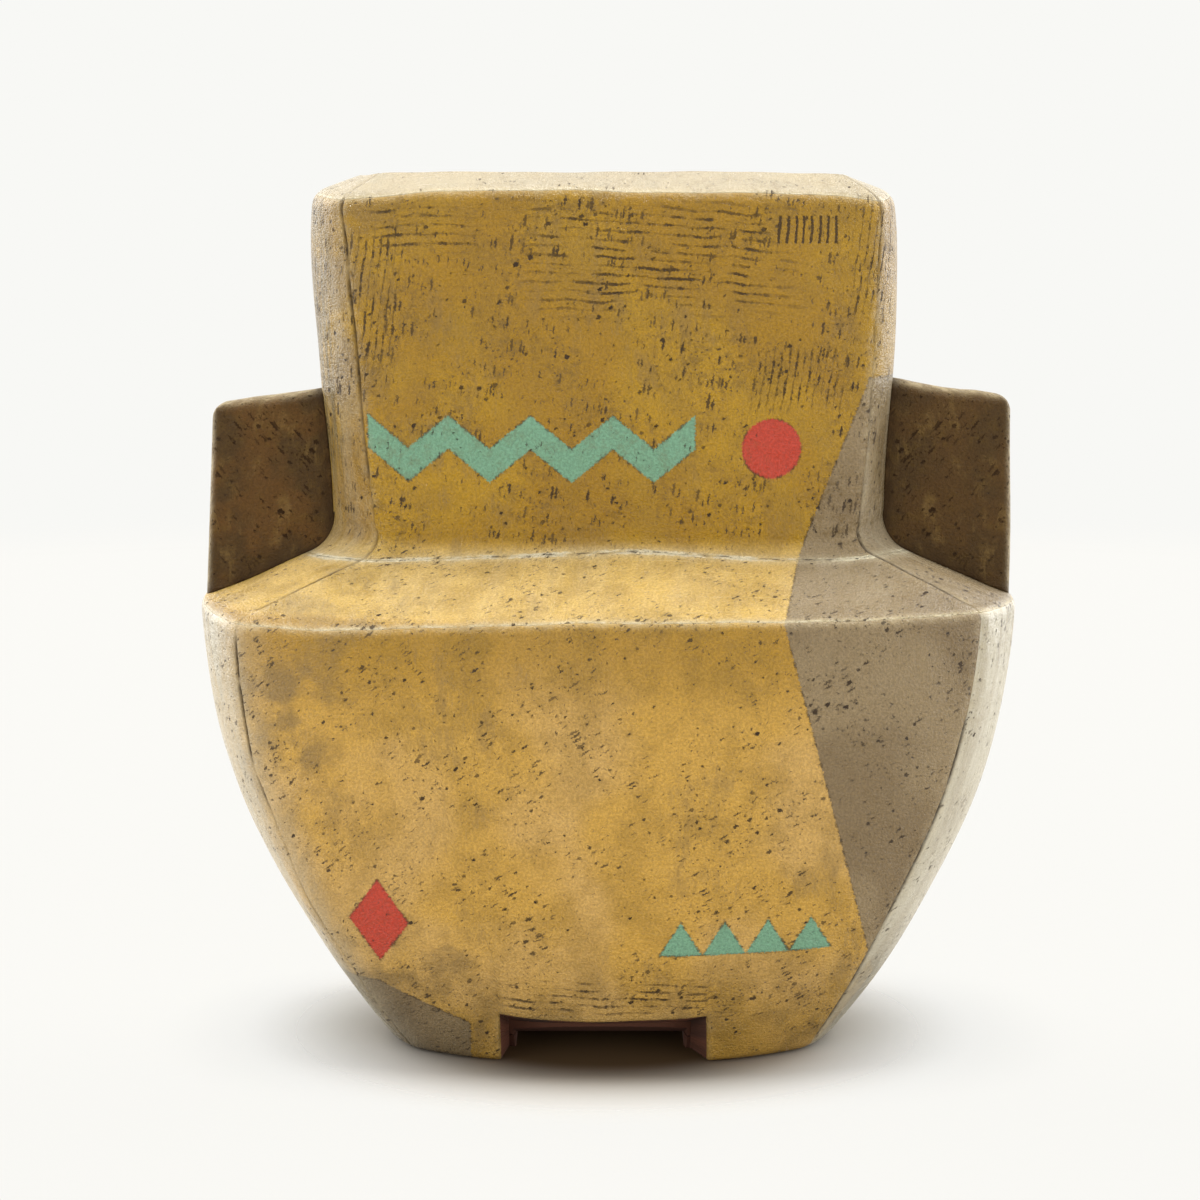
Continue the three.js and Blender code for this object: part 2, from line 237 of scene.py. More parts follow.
# The levels where the soft edges start and end
edgeBelow = bodyLevels(body["edgeHeight"] - body["edgeRound"])
edgeAbove = levelsBetween(edgeLevel, neckFootLevel, [body["edgeRound"] / shoulderRun])[0]
rimHeights = levelsBetween(coveLevels(0), rimLevel, [1 - neck["rimRound"] / neck["rise"]])[0]
rimBelow = neckLevels(rimHeights[cornerZAt], rimHeights[endZAt], rimHeights[frontZAt])
rimAbove = levelsBetween(rimLevel, mouthLevel, [neck["rimRound"] / lipRun])[0]
halfSeam = wallShape["seam"] / 2

notch = {
    "width": 57.6, "height": 15.0, "shift": -2,  # at the outer face
    "channel": 47.6, "floor": 4, "run": 24,  # where the bevelled cut ends
    "sag": 1.4,  # how far its upper edge hangs in the middle
    "roll": 1.6,  # the glaze rolls this far over the edges
    "fineReach": 2.6, "fineColumns": 15, "fineRows": 8,  # finer beside its edges
    "fineClear": 1.1,  # how far the plain columns keep away, in shares of that reach
    "fade": 45,  # height over which the columns swing back to the wall's own
    "lowRows": 14,  # rows beside the cut
    "hangFade": 14,  # height over which the sag dies away
    "wearAndHighlight": 0.3,  # how much the glaze is worn on the cut's edges
}


# Each storey's outline from its lower to its upper seam: the outer levels and the inner ones
def bodyOutline():
    ground = movedLevels(bodyLevels(0), body["footRound"], 0)
    fineTop = notch["height"] + notch["fineReach"]
    low = np.linspace(body["footRound"], notch["height"], notch["lowRows"])
    fine = notch["height"] + notch["fineReach"] * sharesTo(notch["fineRows"])
    high = fineTop + (body["edgeHeight"] - body["edgeRound"] - fineTop) * sharesTo(body["wallRows"])
    footShares = np.arange(body["footRows"]) / body["footRows"]
    outer = np.concatenate([
        levelsRound(ground, bodyLevels(0), bodyLevels(body["footRound"]), footShares),
        bodyLevels(np.concatenate([low, fine, high])),
        levelsRound(edgeBelow, edgeLevel, edgeAbove, sharesTo(body["edgeRows"], 0, 0.5)),
    ])
    # inside, the cut's upper edge is lower, by how far the bevel has run through the wall
    wallDepth = bodyLevels(notch["height"])[frontYAt] - bodyInnerLevels(notch["height"])[frontYAt]
    innerNotch = notch["height"] + (notch["floor"] - notch["height"]) * wallDepth / notch["run"]
    innerTop = edgeInnerLevel[endZAt] - halfSeam
    heights = [0, notch["height"], outer[-1, endZAt]]
    innerZ = np.interp(outer[:, endZAt], heights, [0, innerNotch, innerTop])
    inner = bodyInnerLevels(innerZ)
    inner[-1] = movedLevels(edgeInnerLevel, 0, -halfSeam)
    return outer, inner


# Round the upper half of the shoulder's edge and up the slope
def shoulderOutline():
    outer = np.concatenate([
        levelsRound(edgeBelow, edgeLevel, edgeAbove, np.linspace(0.5, 1, body["edgeRows"])),
        levelsBetween(edgeAbove, neckFootLevel, sharesTo(neck["slopeRows"])),
    ])
    low = movedLevels(edgeInnerLevel, 0, halfSeam)
    high = movedLevels(neckFootInnerLevel, 0, -halfSeam)
    return outer, levelsBetween(low, high, np.linspace(0, 1, len(outer)))


# Up the cove, the wall and half of the rim
def neckOutline():
    heights = levelsBetween(coveLevels(0), rimHeights, sharesTo(neck["wallRows"]))
    outer = np.concatenate([
        coveLevels(np.linspace(coveTurn, 0, neck["coveRows"])),
        neckLevels(heights[:, cornerZAt], heights[:, endZAt], heights[:, frontZAt]),
        levelsRound(rimBelow, rimLevel, rimAbove, sharesTo(neck["rimRows"], 0, 0.5)),
    ])
    shares = (outer[:, endZAt] - outer[0, endZAt]) / (outer[-1, endZAt] - outer[0, endZAt])
    line = levelsBetween(neckFootInnerLevel, rimInnerLevel, shares)
    inner = movedLevels(neckLevels(line[:, cornerZAt], line[:, endZAt], line[:, frontZAt]), neck["wall"], 0)
    inner[0] = movedLevels(neckFootInnerLevel, 0, halfSeam)
    inner[-1] = movedLevels(rimInnerLevel, 0, -halfSeam)
    return outer, inner


# Over the rest of the rim, along the slope, round the mouth's edge and into the mouth
def lipOutline():
    nearMouth = levelsBetween(rimLevel, mouthLevel, [1 - lip["mouthRound"] / lipRun])[0]
    inMouth = movedLevels(mouthLevel, 0, -lip["mouthRound"])
    lowMouth = movedLevels(mouthInnerLevel, 0, lip["mouthRound"] / 2)
    outer = np.concatenate([
        levelsRound(rimBelow, rimLevel, rimAbove, np.linspace(0.5, 1, neck["rimRows"])),
        levelsBetween(rimAbove, nearMouth, sharesTo(lip["slopeRows"])),
        levelsRound(nearMouth, mouthLevel, inMouth, sharesTo(lip["mouthRows"])),
        levelsBetween(inMouth, lowMouth, sharesTo(lip["faceRows"])),
    ])
    low = movedLevels(rimInnerLevel, 0, halfSeam)
    return outer, levelsBetween(low, mouthInnerLevel, np.linspace(0, 1, len(outer)))


# The soft unevenness of a thing made by hand
handwork = {
    "seed": 11, "waves": 16, "longest": 95.0, "shortest": 15.0,  # swells in the clay
    "fall": 0.8,  # their heights go with their length ^ this
    "depth": 0.26,  # how far they push the clay
    "calmFoot": 12,  # they leave the ground flat, and lift the clay in full above this height
    "leanHeights": [0, 126, 240], "lean": [1.2, 0.3, -1.0],  # how far the vase stands off to the right
    "neckCornerHeights": [143, 182, 193, 212, 225, 240],  # the neck's corners stand off as well
    "neckCornerLeft": [-4.6, -2.9, -2.8, -2.4, -3.4, -2.9],
    "neckCornerRight": [2.4, 2.4, 2.3, 2.1, 1.9, 1.8],
    "bodyCornerHeights": [0, 45, 85, 126],
    "bodyCornerLeft": [0.8, 3.6, 4.0, 1.4], "bodyCornerRight": [0, 0, 0.6, 1.6],
    "changeFrom": 2, "changeOver": 12,  # where, over the shoulder's edge, the neck's numbers take over
    "drawnIn": [0.9955, 0.992, 0.9985],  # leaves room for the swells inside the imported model's box
}

# How far the lines where the slabs meet stand off their own height, from left to right along the
# front. "ends" is the same at the ends and the back, "reach" how soon the front's numbers hold, and
# below and above are the heights where it has faded out
unevenLines = {
    "edge": {
        "height": 126.5, "below": 92, "above": 143, "reach": 40, "ends": 1.0,
        "across": [-102, -80, -62, -46, -24, 0, 40, 100],
        "rise": [-2.0, -2.1, -1.1, 0, 1.3, 1.6, 1.3, 1.6],
    },
    "crease": {
        "height": 143, "below": 126.5, "above": 172, "reach": 20, "ends": 0.2,
        "across": [-78, -57, -40, 0, 20, 48, 62, 78],
        "rise": [0, -0.3, 0.2, 1.5, 1.3, -0.5, 0, 1.2],
    },
    "rim": {
        "height": 240.6, "below": 204, "above": 245.6, "reach": 20, "ends": 0.3,
        "across": [-80, -62, -45, -33, -19, 0, 24, 50, 67, 78],
        "rise": [0.2, 0.8, 1.5, 1.9, 1.4, 0.9, 0.4, 1.1, 1.0, 0.1],
    },
    "mouth": {
        "height": 245.6, "below": 240.6, "above": 300, "reach": 10, "ends": 1.0,
        "across": [-66, -55, -45, 40, 52, 66],
        "rise": [0.5, 1.0, 1.3, 1.25, 0.8, 0.5],
    },
}


# A sum of sine waves in random directions, with heights that go with (length / longest) ^ fall
def swells(points, seed, count, longest, shortest, channels):
    rng = np.random.default_rng(seed)
    directions = rng.normal(size=(count, 3))
    directions /= np.linalg.norm(directions, axis=1, keepdims=True)
    lengths = longest * (shortest / longest) ** (np.arange(count) / (count - 1))
    heights = rng.normal(size=(count, channels)) * (lengths[:, None] / longest) ** handwork["fall"]
    heights /= np.sqrt((heights ** 2).sum(axis=0) / 2)
    phases = rng.uniform(0, 2 * math.pi, count)
    return np.sin(points @ (directions * 2 * math.pi / lengths[:, None]).T + phases) @ heights


# The rise of each line, fading out below and above it: eased on the walls, straight on the slopes
def unevenRise(x, y, z):
    total = np.zeros_like(x)
    for name, line in unevenLines.items():
        toFront = np.clip(-y / line["reach"], 0, 1)
        rise = np.interp(x, line["across"], line["rise"]) * toFront + line["ends"] * (1 - toFront)
        below = np.clip((z - line["below"]) / (line["height"] - line["below"]), 0, 1)
        above = np.clip((line["above"] - z) / (line["above"] - line["height"]), 0, 1)
        if name in ("edge", "rim"):
            below = smooth(below)
        if name in ("crease", "mouth"):
            above = smooth(above)
        total += rise * below * above
    return total


# A point's final place depends on its place alone, so that neighbours stay together
def byHand(points):
    flat = points.reshape(-1, 3)
    hand = handwork
    push = swells(flat, hand["seed"], hand["waves"], hand["longest"], hand["shortest"], 3)
    push[:, 2] *= np.clip(flat[:, 2] / hand["calmFoot"], 0, 1)
    result = (flat + push * hand["depth"]) * hand["drawnIn"]
    result[:, 0] += np.interp(flat[:, 2], hand["leanHeights"], hand["lean"])
    result[:, 2] += unevenRise(*flat.T)
    return result.reshape(points.shape)


# The corners stand a little off, each side its own way
def withCornerShift(levels, side):
    shifted = levels.copy()
    heights = levels[:, cornerZAt]
    name = side.capitalize()
    onNeck = np.interp(heights, handwork["neckCornerHeights"], handwork["neckCorner" + name])
    onBody = np.interp(heights, handwork["bodyCornerHeights"], handwork["bodyCorner" + name])
    share = (heights - body["edgeHeight"] - handwork["changeFrom"]) / handwork["changeOver"]
    share = np.clip(share, 0, 1)
    shifted[:, cornerXAt] += onNeck * share + onBody * (1 - share)
    return shifted


# Which numbers of a level make a wall: half its width, its corner's distance out, and the distance
# out and the height of its middle
wallKinds = {
    "front": (cornerXAt, cornerYAt, frontYAt, frontZAt, wallShape["frontPower"]),
    "end": (cornerYAt, cornerXAt, endXAt, endZAt, wallShape["endPower"]),
}
# The walls in turn, with the vase's corners at their left and right ends
walls = {
    "front": {"turns": 0, "kind": "front", "corners": ("front-left", "front-right")},
    "right": {"turns": 1, "kind": "end", "corners": ("front-right", "back-right")},
    "back": {"turns": 2, "kind": "front", "corners": ("back-right", "back-left")},
    "left": {"turns": 3, "kind": "end", "corners": ("back-left", "front-left")},
}


# A point of a wall, in the wall's own frame where it faces -Y:
# out = middle - (middle - corner) share^power, and its height nears the corner's with share^2
def onWall(levels, kind, along):
    half, cornerOut, middleOut, middleZ, power = wallKinds[kind]
    share = np.abs(along) / levels[:, half, None]
    middle, corner = levels[:, middleOut, None], levels[:, cornerOut, None]
    out = middle - (middle - corner) * share ** power
    middle, corner = levels[:, middleZ, None], levels[:, cornerZAt, None]
    z = middle - (middle - corner) * share ** 2
    return np.stack(np.broadcast_arrays(along, -out, z), axis=-1)


# Places along each row for shares of the wall, straight between knots
def alongKnots(shares, knotShares, knotPlaces):
    index = np.clip(np.searchsorted(knotShares, shares, side="right") - 1, 0, len(knotShares) - 2)
    part = (shares - knotShares[index]) / (knotShares[index + 1] - knotShares[index])
    return knotPlaces[:, index] * (1 - part) + knotPlaces[:, index + 1] * part


# The right-hand soft corner of a wall, from the wall to the mitred seam in its middle:
# (1-s)^2 near + 2s(1-s) sharp + s^2 far, with s from 0 to a half
def softCorner(levels, kind):
    otherKind = "end" if kind == "front" else "front"
    reach = wallShape["cornerRound"]
    steps = np.arange(wallShape["cornerColumns"])[::-1] / wallShape["cornerColumns"]
    s = (0.5 - 0.5 * steps ** wallShape["cornerCrowding"])[None, :, None]
    half = levels[:, wallKinds[kind][0], None]
    otherHalf = levels[:, wallKinds[otherKind][0], None]
    other = onWall(levels, otherKind, otherHalf - reach)
    far = np.stack([-other[..., 1], -other[..., 0], other[..., 2]], axis=-1)
    near = onWall(levels, kind, half - reach)
    sharp = onWall(levels, kind, half)
    return (1 - s) ** 2 * near + 2 * s * (1 - s) * sharp + s ** 2 * far


# A wall's surface between its left and its right levels, for shares of its width, each end trimmed
def wallSurface(leftLevels, rightLevels, kind, trim, shares, knotShares, knotPlaces):
    half = wallKinds[kind][0]
    leftEnd = -(leftLevels[:, half] - trim)[:, None]
    rightEnd = (rightLevels[:, half] - trim)[:, None]
    along = alongKnots(shares, knotShares, np.concatenate([leftEnd, knotPlaces, rightEnd], axis=1))
    isLeft = (along < 0)[..., None]
    return np.where(isLeft, onWall(leftLevels, kind, along), onWall(rightLevels, kind, along))


# The outer face of a wall, from seam to seam
def outerFace(leftLevels, rightLevels, kind, shares, knotShares, knotPlaces):
    trim = wallShape["cornerRound"]
    face = wallSurface(leftLevels, rightLevels, kind, trim, shares, knotShares, knotPlaces)
    leftCorner = softCorner(leftLevels, kind)[:, ::-1] * np.array([-1, 1, 1])
    return np.concatenate([leftCorner, face, softCorner(rightLevels, kind)], axis=1)


# The inner face has as many columns, spread over its own width
def innerFace(leftLevels, rightLevels, kind, shares, knotShares, knotPlaces):
    cornerShares = 1 + wallShape["innerCorner"] * sharesTo(wallShape["cornerColumns"])
    everyShare = np.concatenate([-cornerShares[::-1], shares, cornerShares])
    widened = np.concatenate([[-cornerShares[-1]], knotShares[1:-1], [cornerShares[-1]]])
    return wallSurface(leftLevels, rightLevels, kind, halfSeam, everyShare, widened, knotPlaces)


# Points turned about the vase's axis by quarter turns
def turned(points, turns):
    cos, sin = round(math.cos(turns * math.pi / 2)), round(math.sin(turns * math.pi / 2))
    x, y, z = np.moveaxis(points, -1, 0)
    return np.stack([x * cos - y * sin, x * sin + y * cos, z], axis=-1)


# How deep the mitred seams have opened: heights and depths, for each corner of the plan
cracks = {
    "width": 0.42,
    "wobble": 0.45,  # how much the depth varies on its way
    "seed": 29, "waves": 12, "longest": 30.0, "shortest": 2.5,  # of that wobble
    "darkFrom": 0.05, "darkOver": 0.42,  # the depth where oxide starts to stay, and how fast it grows
    "darkWidth": 0.5,
    "front-left": ([0, 12, 40, 70, 84, 98, 108, 116, 124, 130, 142, 160, 190, 225, 238, 246],
                   [0.3, 0.05, 0.12, 0.16, 0.35, 0.7, 1.25, 0.5, 0.05, 0.3, 0.4, 0.2, 0.3, 0.5, 0.4, 0.1]),
    "front-right": ([0, 20, 50, 75, 92, 99, 125, 131, 143, 160, 200, 235, 246],
                    [0.5, 0.5, 0.5, 0.9, 0.9, 0.05, 0.05, 0.45, 0.5, 0.1, 0.15, 0.2, 0.1]),
    "back-left": ([0, 60, 126, 143, 240], [0.3, 0.4, 0.1, 0.4, 0.25]),
    "back-right": ([0, 50, 126, 143, 240], [0.4, 0.2, 0.1, 0.4, 0.3]),
}


# The depth by height, times 1 + wobble x a sum of waves
def crackDepth(points, corner):
    heights, depths = cracks[corner]
    waves = (cracks["seed"], cracks["waves"], cracks["longest"], cracks["shortest"])
    wobble = swells(points.reshape(-1, 3), *waves, 1)[:, 0].reshape(points.shape[:-1])
    depth = np.interp(points[..., 2], heights, depths)
    return np.maximum(depth * (1 + cracks["wobble"] * wobble), 0)


# The faces of a closed shell between two grids of the same rows and columns: the outer grid, the
# inner one turned round, and a strip over every open edge. A hole is (rows, first and last column).
def closedShell(rows, columns, hole=None):
    index = np.arange(rows * columns).reshape(rows, columns)
    quads = np.stack([index[:-1, :-1], index[:-1, 1:], index[1:, 1:], index[1:, :-1]], axis=-1)
    keep = np.ones(quads.shape[:2], dtype=bool)
    if hole:
        keep[:hole[0], hole[1]:hole[2]] = False
    quads = quads[keep]
    count = rows * columns
    fromCorner, toCorner = quads.ravel(), np.roll(quads, -1, axis=1).ravel()
    isOpen = ~np.isin(fromCorner * count + toCorner, toCorner * count + fromCorner)
    a, b = fromCorner[isOpen], toCorner[isOpen]
    strips = np.stack([b, a, a + count, b + count], axis=-1)
    faces = np.concatenate([quads, quads[:, ::-1] + count, strips])
    parts = np.repeat([0, 1, 2], [len(quads), len(quads), len(strips)])
    used = np.unique(faces)
    renumber = np.zeros(2 * count, dtype=int)
    renumber[used] = np.arange(len(used))
    return renumber[faces], parts, used


# A mesh object in metres from points, faces of four corners, the material of each face, which faces
# are smooth, a value for every point under each name, and a UV map in metres
def addPiece(name, points, faces, materialOf, isSmooth, values, uv, materials):
    mesh = bpy.data.meshes.new(name)
    mesh.vertices.add(len(points))
    mesh.vertices.foreach_set("co", (points * metresPerMm).astype(np.float32).ravel())
    mesh.loops.add(faces.size)
    mesh.loops.foreach_set("vertex_index", faces.astype(np.int32).ravel())
    mesh.polygons.add(len(faces))
    mesh.polygons.foreach_set("loop_start", np.arange(0, faces.size, 4, dtype=np.int32))
    for material in materials:
        mesh.materials.append(material)
    mesh.polygons.foreach_set("material_index", materialOf.astype(np.int32))
    mesh.polygons.foreach_set("use_smooth", isSmooth)
    mesh.update(calc_edges=True)
    for valueName, amounts in values.items():
        layer = mesh.attributes.new(valueName, "FLOAT", "POINT")
        layer.data.foreach_set("value", amounts.astype(np.float32))
    layer = mesh.uv_layers.new(name="slab")
    layer.data.foreach_set("uv", (uv[faces.ravel()] * metresPerMm).astype(np.float32).ravel())
    mesh.validate()
    piece = bpy.data.objects.new(name, mesh)
    bpy.context.scene.collection.objects.link(piece)
    return piece


# Every piece rides on the one body and takes the place of its own node
def finishPiece(piece, slotName, *nodes):
    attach(piece, "root")
    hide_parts(*nodes)


# A shader node with its inputs, by name or number, linked or set
def node(tree, kind, inputs=(), **settings):
    made = tree.nodes.new(kind)
    for name, value in settings.items():
        setattr(made, name, value)
    for name, value in dict(inputs).items():
        socket = made.inputs[name]
        if isinstance(value, bpy.types.NodeSocket):
            tree.links.new(value, socket)
        else:
            socket.default_value = value
    return made


# A sum of numbers, linked or set
def calc(tree, operation, *values, clamp=False):
    made = node(tree, "ShaderNodeMath", dict(enumerate(values)), operation=operation, use_clamp=clamp)
    return made.outputs[0]


# The sums that the materials need most often
def times(tree, first, second, clamp=False):
    return calc(tree, "MULTIPLY", first, second, clamp=clamp)


def timesPlus(tree, first, second, third, clamp=False):
    return calc(tree, "MULTIPLY_ADD", first, second, third, clamp=clamp)


def divided(tree, first, second, clamp=False):
    return calc(tree, "DIVIDE", first, second, clamp=clamp)


def less(tree, first, second):
    return calc(tree, "SUBTRACT", first, second)


def absolute(tree, value):
    return calc(tree, "ABSOLUTE", value)


def most(tree, first, *others, clamp=False):
    for other in others:
        first = calc(tree, "MAXIMUM", first, other, clamp=clamp)
    return first


def least(tree, first, *others):
    for other in others:
        first = calc(tree, "MINIMUM", first, other)
    return first


# The same for vectors; a length comes out as a number
def vectorCalc(tree, operation, *vectors, **scale):
    inputs = {**dict(enumerate(vectors)), **scale}
    made = node(tree, "ShaderNodeVectorMath", inputs, operation=operation)
    return made.outputs["Value" if operation == "LENGTH" else "Vector"]


def partsOf(tree, vector):
    return node(tree, "ShaderNodeSeparateXYZ", {0: vector}).outputs


# How far to the right and how far up a place in the vase lies
def rightAndUp(tree, place):
    parts = partsOf(tree, place)
    return parts[0], parts[2]


# A value that a piece carries at each of its points
def attribute(tree, name):
    return node(tree, "ShaderNodeAttribute", attribute_name=name).outputs["Fac"]


# 0 below low, 1 above high, eased between them; swap low and high to turn it round
def eased(tree, value, low, high):
    inputs = {"Value": value, "From Min": low, "From Max": high}
    return node(tree, "ShaderNodeMapRange", inputs, interpolation_type="SMOOTHSTEP").outputs[0]


# Flat noise with finer noise on it, around 0.5
def noise(tree, flat, scale, detail=2.0, roughness=0.5, distortion=0.0, output=0):
    inputs = {
        "Vector": flat, "Scale": scale, "Detail": detail, "Roughness": roughness, "Distortion": distortion,
    }
    return node(tree, "ShaderNodeTexNoise", inputs, noise_dimensions="2D").outputs[output]


# (1 - share) first + share second, for colours
def mixed(tree, share, first, second):
    made = node(tree, "ShaderNodeMix", {0: share, 6: first, 7: second}, data_type="RGBA")
    return made.outputs[2]


def moved(tree, flat, along, up):
    return vectorCalc(tree, "ADD", flat, (along, up, 0))


def stretched(tree, flat, along, up):
    return vectorCalc(tree, "MULTIPLY", flat, (along, up, 0))


# A flat place turned by an angle, as its two numbers
def rotated(tree, flat, angle):
    turn = node(tree, "ShaderNodeVectorRotate", {"Vector": flat, "Angle": angle}, rotation_type="Z_AXIS")
    return partsOf(tree, turn.outputs[0])[:2]


# A colour as an eye reads it, 0 to 255, turned into the light that it stands for
def paint(red, green, blue):
    shares = np.array([red, green, blue]) / 255
    linear = np.where(shares <= 0.04045, shares / 12.92, ((shares + 0.055) / 1.055) ** 2.4)
    return (*linear.tolist(), 1.0)


# A node group, with the sockets that its nodes start from and end in
def newGroup(name, vectors, numbers, results):
    tree = bpy.data.node_groups.new(name, "ShaderNodeTree")
    for socketName in vectors:
        tree.interface.new_socket(name=socketName, in_out="INPUT", socket_type="NodeSocketVector")
    for socketName in numbers:
        tree.interface.new_socket(name=socketName, in_out="INPUT", socket_type="NodeSocketFloat")
    for socketName in results:
        tree.interface.new_socket(name=socketName, in_out="OUTPUT", socket_type="NodeSocketFloat")
    return tree, tree.nodes.new("NodeGroupInput").outputs, tree.nodes.new("NodeGroupOutput").inputs


# A group at work in a tree, with its inputs by name
def useGroup(tree, group, **inputs):
    made = tree.nodes.new("ShaderNodeGroup")
    made.node_tree = group
    for name, value in inputs.items():
        if isinstance(value, bpy.types.NodeSocket):
            tree.links.new(value, made.inputs[name])
        else:
            made.inputs[name].default_value = value
    return made.outputs


# Columns of the grid on each slab
slabColumns = {
    "body": {"front": 196, "end": 90}, "shoulder": {"front": 196, "end": 90},
    "neck": {"front": 176, "end": 76}, "lip": {"front": 176, "end": 60},
}

# How much cream the ochre glaze has on each storey, as it ran thin on the flatter slabs. On the end
# walls the pale is partly painted sheen, and on the shoulder partly painted light on its upturned top.
# Near the seams it loses the share lessAtSeams, and the body's left-hand seam has a veil of its own.
slabPale = {
    "front": {"body": 0, "shoulder": 0.12, "neck": 0, "lip": 0.62, "lessAtSeams": 0, "veil": 0.35},
    "right": {"body": 0.95, "shoulder": 0.15, "neck": 0.22, "lip": 0.65, "lessAtSeams": 0.1, "veil": 0},
    "back": {"body": 0, "shoulder": 0.12, "neck": 0, "lip": 0.62, "lessAtSeams": 0, "veil": 0.35},
    "left": {"body": 0.8, "shoulder": 0.1, "neck": 0.28, "lip": 0.62, "lessAtSeams": 0.55, "veil": 0},
}

# Where a crack opens towards, by height: the walls' corners face out, the shoulder's and lip's up
crackFacing = {
    "heights": [120, 129, 142, 152, 236, 242],
    "out": [1, 0.4, 0.4, 1, 1, 0.3],
    "up": [0, 0.9, 0.9, 0, 0, 0.95],
    "sideways": 0.63, "forward": 0.77,
}

# How far from an edge, a corner, a crease or a seam the glaze has run thin, and how far the painted
# highlights on the edges and in the crease reach
wearAndHighlightReach = {"edge": 1.3, "corner": 2.2, "crease": 3.0, "pale": 7}
# the slab under an edge has this share of the edge's wear and painted highlight
wearAndHighlightBelow = 0.6  # how much of an edge's wear the slab under it has


# How near a distance is to nothing: e^-(distance / reach)^2
def nearness(distance, reach):
    return np.exp(-(distance / reach) ** 2)


# The notch's edges along a front or back wall
def notchEdges(wallName, width, aside=0.0):
    middle = notch["shift"] - aside
    if wallName == "back":
        middle = -middle
    return middle - width / 2, middle + width / 2


# The wall's columns swing to the notch's upright edges near the ground
def notchKnots(levels, shares, edges, top):
    half = levels[:, cornerXAt] - wallShape["cornerRound"]
    fade = 1 - smooth((levels[:, frontZAt] - top) / notch["fade"])
    return np.stack([fade * edge + (1 - fade) * share * half for edge, share in zip(edges, shares)], axis=1)


# The clay round the notch: its upper edge hangs a little and its edges are rolled in
def rolledNotch(points, edges, firstRow):
    x, z = points[..., 0], points[..., 2]
    middle, half = (edges[0] + edges[1]) / 2, (edges[1] - edges[0]) / 2
    hang = notch["sag"] * np.maximum(1 - ((x - middle) / half) ** 2, 0)
    above = 1 - smooth((z - notch["height"]) / notch["hangFade"])
    isUpper = (np.arange(len(points)) >= firstRow)[:, None]
    rolled = points.copy()
    rolled[..., 2] -= hang * above * isUpper
    aside = np.maximum(np.maximum(edges[0] - x, x - edges[1]), 0)
    distance = np.hypot(aside, np.maximum(z - notch["height"], 0))
    roll = notch["roll"]
    near = np.clip(roll - distance, 0, roll)
    rolled[..., 1] += roll - np.sqrt(roll ** 2 - near ** 2)
    return rolled, notch["wearAndHighlight"] * nearness(distance, wearAndHighlightReach["edge"])


# The mitred seams at both ends of a wall, opened into fine cracks: each point sinks by the crack's
# depth at its height, times its nearness to the seam
def crackedSeams(points, corners):
    seamValue = np.zeros(points.shape[:2])
    cornerValue = np.zeros(points.shape[:2])
    sunk = points.copy()
    for column, corner in zip((0, -1), corners):
        seamLine = points[:, column]
        depth = crackDepth(seamLine, corner)[:, None]
        distance = np.linalg.norm(points - seamLine[:, None], axis=-1)
        out = np.interp(seamLine[:, 2], crackFacing["heights"], crackFacing["out"])
        up = np.interp(seamLine[:, 2], crackFacing["heights"], crackFacing["up"])
        sideways = crackFacing["sideways"] * np.sign(seamLine[:, 0]) * out
        forward = crackFacing["forward"] * np.sign(seamLine[:, 1]) * out
        facing = np.stack([sideways, forward, up], axis=-1)
        facing /= np.linalg.norm(facing, axis=-1, keepdims=True)
        sunk -= facing[:, None] * (depth * nearness(distance, cracks["width"]))[..., None]
        oxide = np.clip((depth - cracks["darkFrom"]) / cracks["darkOver"], 0, 1)
        seamValue = np.maximum(seamValue, oxide * nearness(distance, cracks["darkWidth"]))
        cornerValue = np.maximum(cornerValue, nearness(distance, wearAndHighlightReach["corner"]))
    return sunk, seamValue, cornerValue


# How near each row lies to the storey's soft edges and to the crease at the neck's foot, 0 to 1
def rowValues(storey, travelled):
    left = travelled[-1:] - travelled
    edge, crease = np.zeros_like(travelled), np.zeros_like(travelled)
    if storey in ("body", "neck"):
        edge = wearAndHighlightBelow * nearness(left, wearAndHighlightReach["edge"])
    if storey in ("shoulder", "lip"):
        edge = nearness(travelled, wearAndHighlightReach["edge"])
    if storey == "shoulder":
        crease = nearness(left, wearAndHighlightReach["crease"])
    if storey == "neck":
        crease = nearness(travelled, wearAndHighlightReach["crease"])
    if storey == "lip":
        mouthPlace = neck["rimRound"] / 2 + lipRun - lip["mouthRound"] / 2
        edge = np.maximum(edge, nearness(travelled - mouthPlace, wearAndHighlightReach["edge"]))
    return edge, crease


# The columns of a body wall with a notch: fine ones beside the cut, and knots on its edges
def notchColumns(wallName, outerLevels, innerLevels, shares):
    edges = notchEdges(wallName, notch["width"])
    topRow = int(np.searchsorted(outerLevels[:, frontZAt], notch["height"] - 1e-6))
    half = outerLevels[topRow, cornerXAt] - wallShape["cornerRound"]
    edgeShares = [edge / half for edge in edges]
    reach = notch["fineReach"] / half
    fine = [edge + np.linspace(-reach, reach, notch["fineColumns"]) for edge in edgeShares]
    isFar = np.all([np.abs(shares - edge) > reach * notch["fineClear"] for edge in edgeShares], axis=0)
    shares = np.sort(np.concatenate([shares[isFar], *fine]))
    wallDepth = outerLevels[topRow, frontYAt] - innerLevels[topRow, frontYAt]
    innerWidth = notch["width"] + (notch["channel"] - notch["width"]) * wallDepth / notch["run"]
    # inside, the cut meets the feet, which do not lean with the walls
    innerEdges = notchEdges(wallName, innerWidth, handwork["lean"][0])
    knots = {
        "shares": np.array([-1.0, *edgeShares, 1.0]),
        "outer": notchKnots(outerLevels, edgeShares, edges, notch["height"]),
        "inner": notchKnots(innerLevels, edgeShares, innerEdges, innerLevels[topRow, frontZAt]),
    }
    columns = [int(np.argmin(np.abs(shares - edge))) for edge in edgeShares]
    hole = (topRow, *(column + wallShape["cornerColumns"] for column in columns))
    return edges, shares, knots, hole


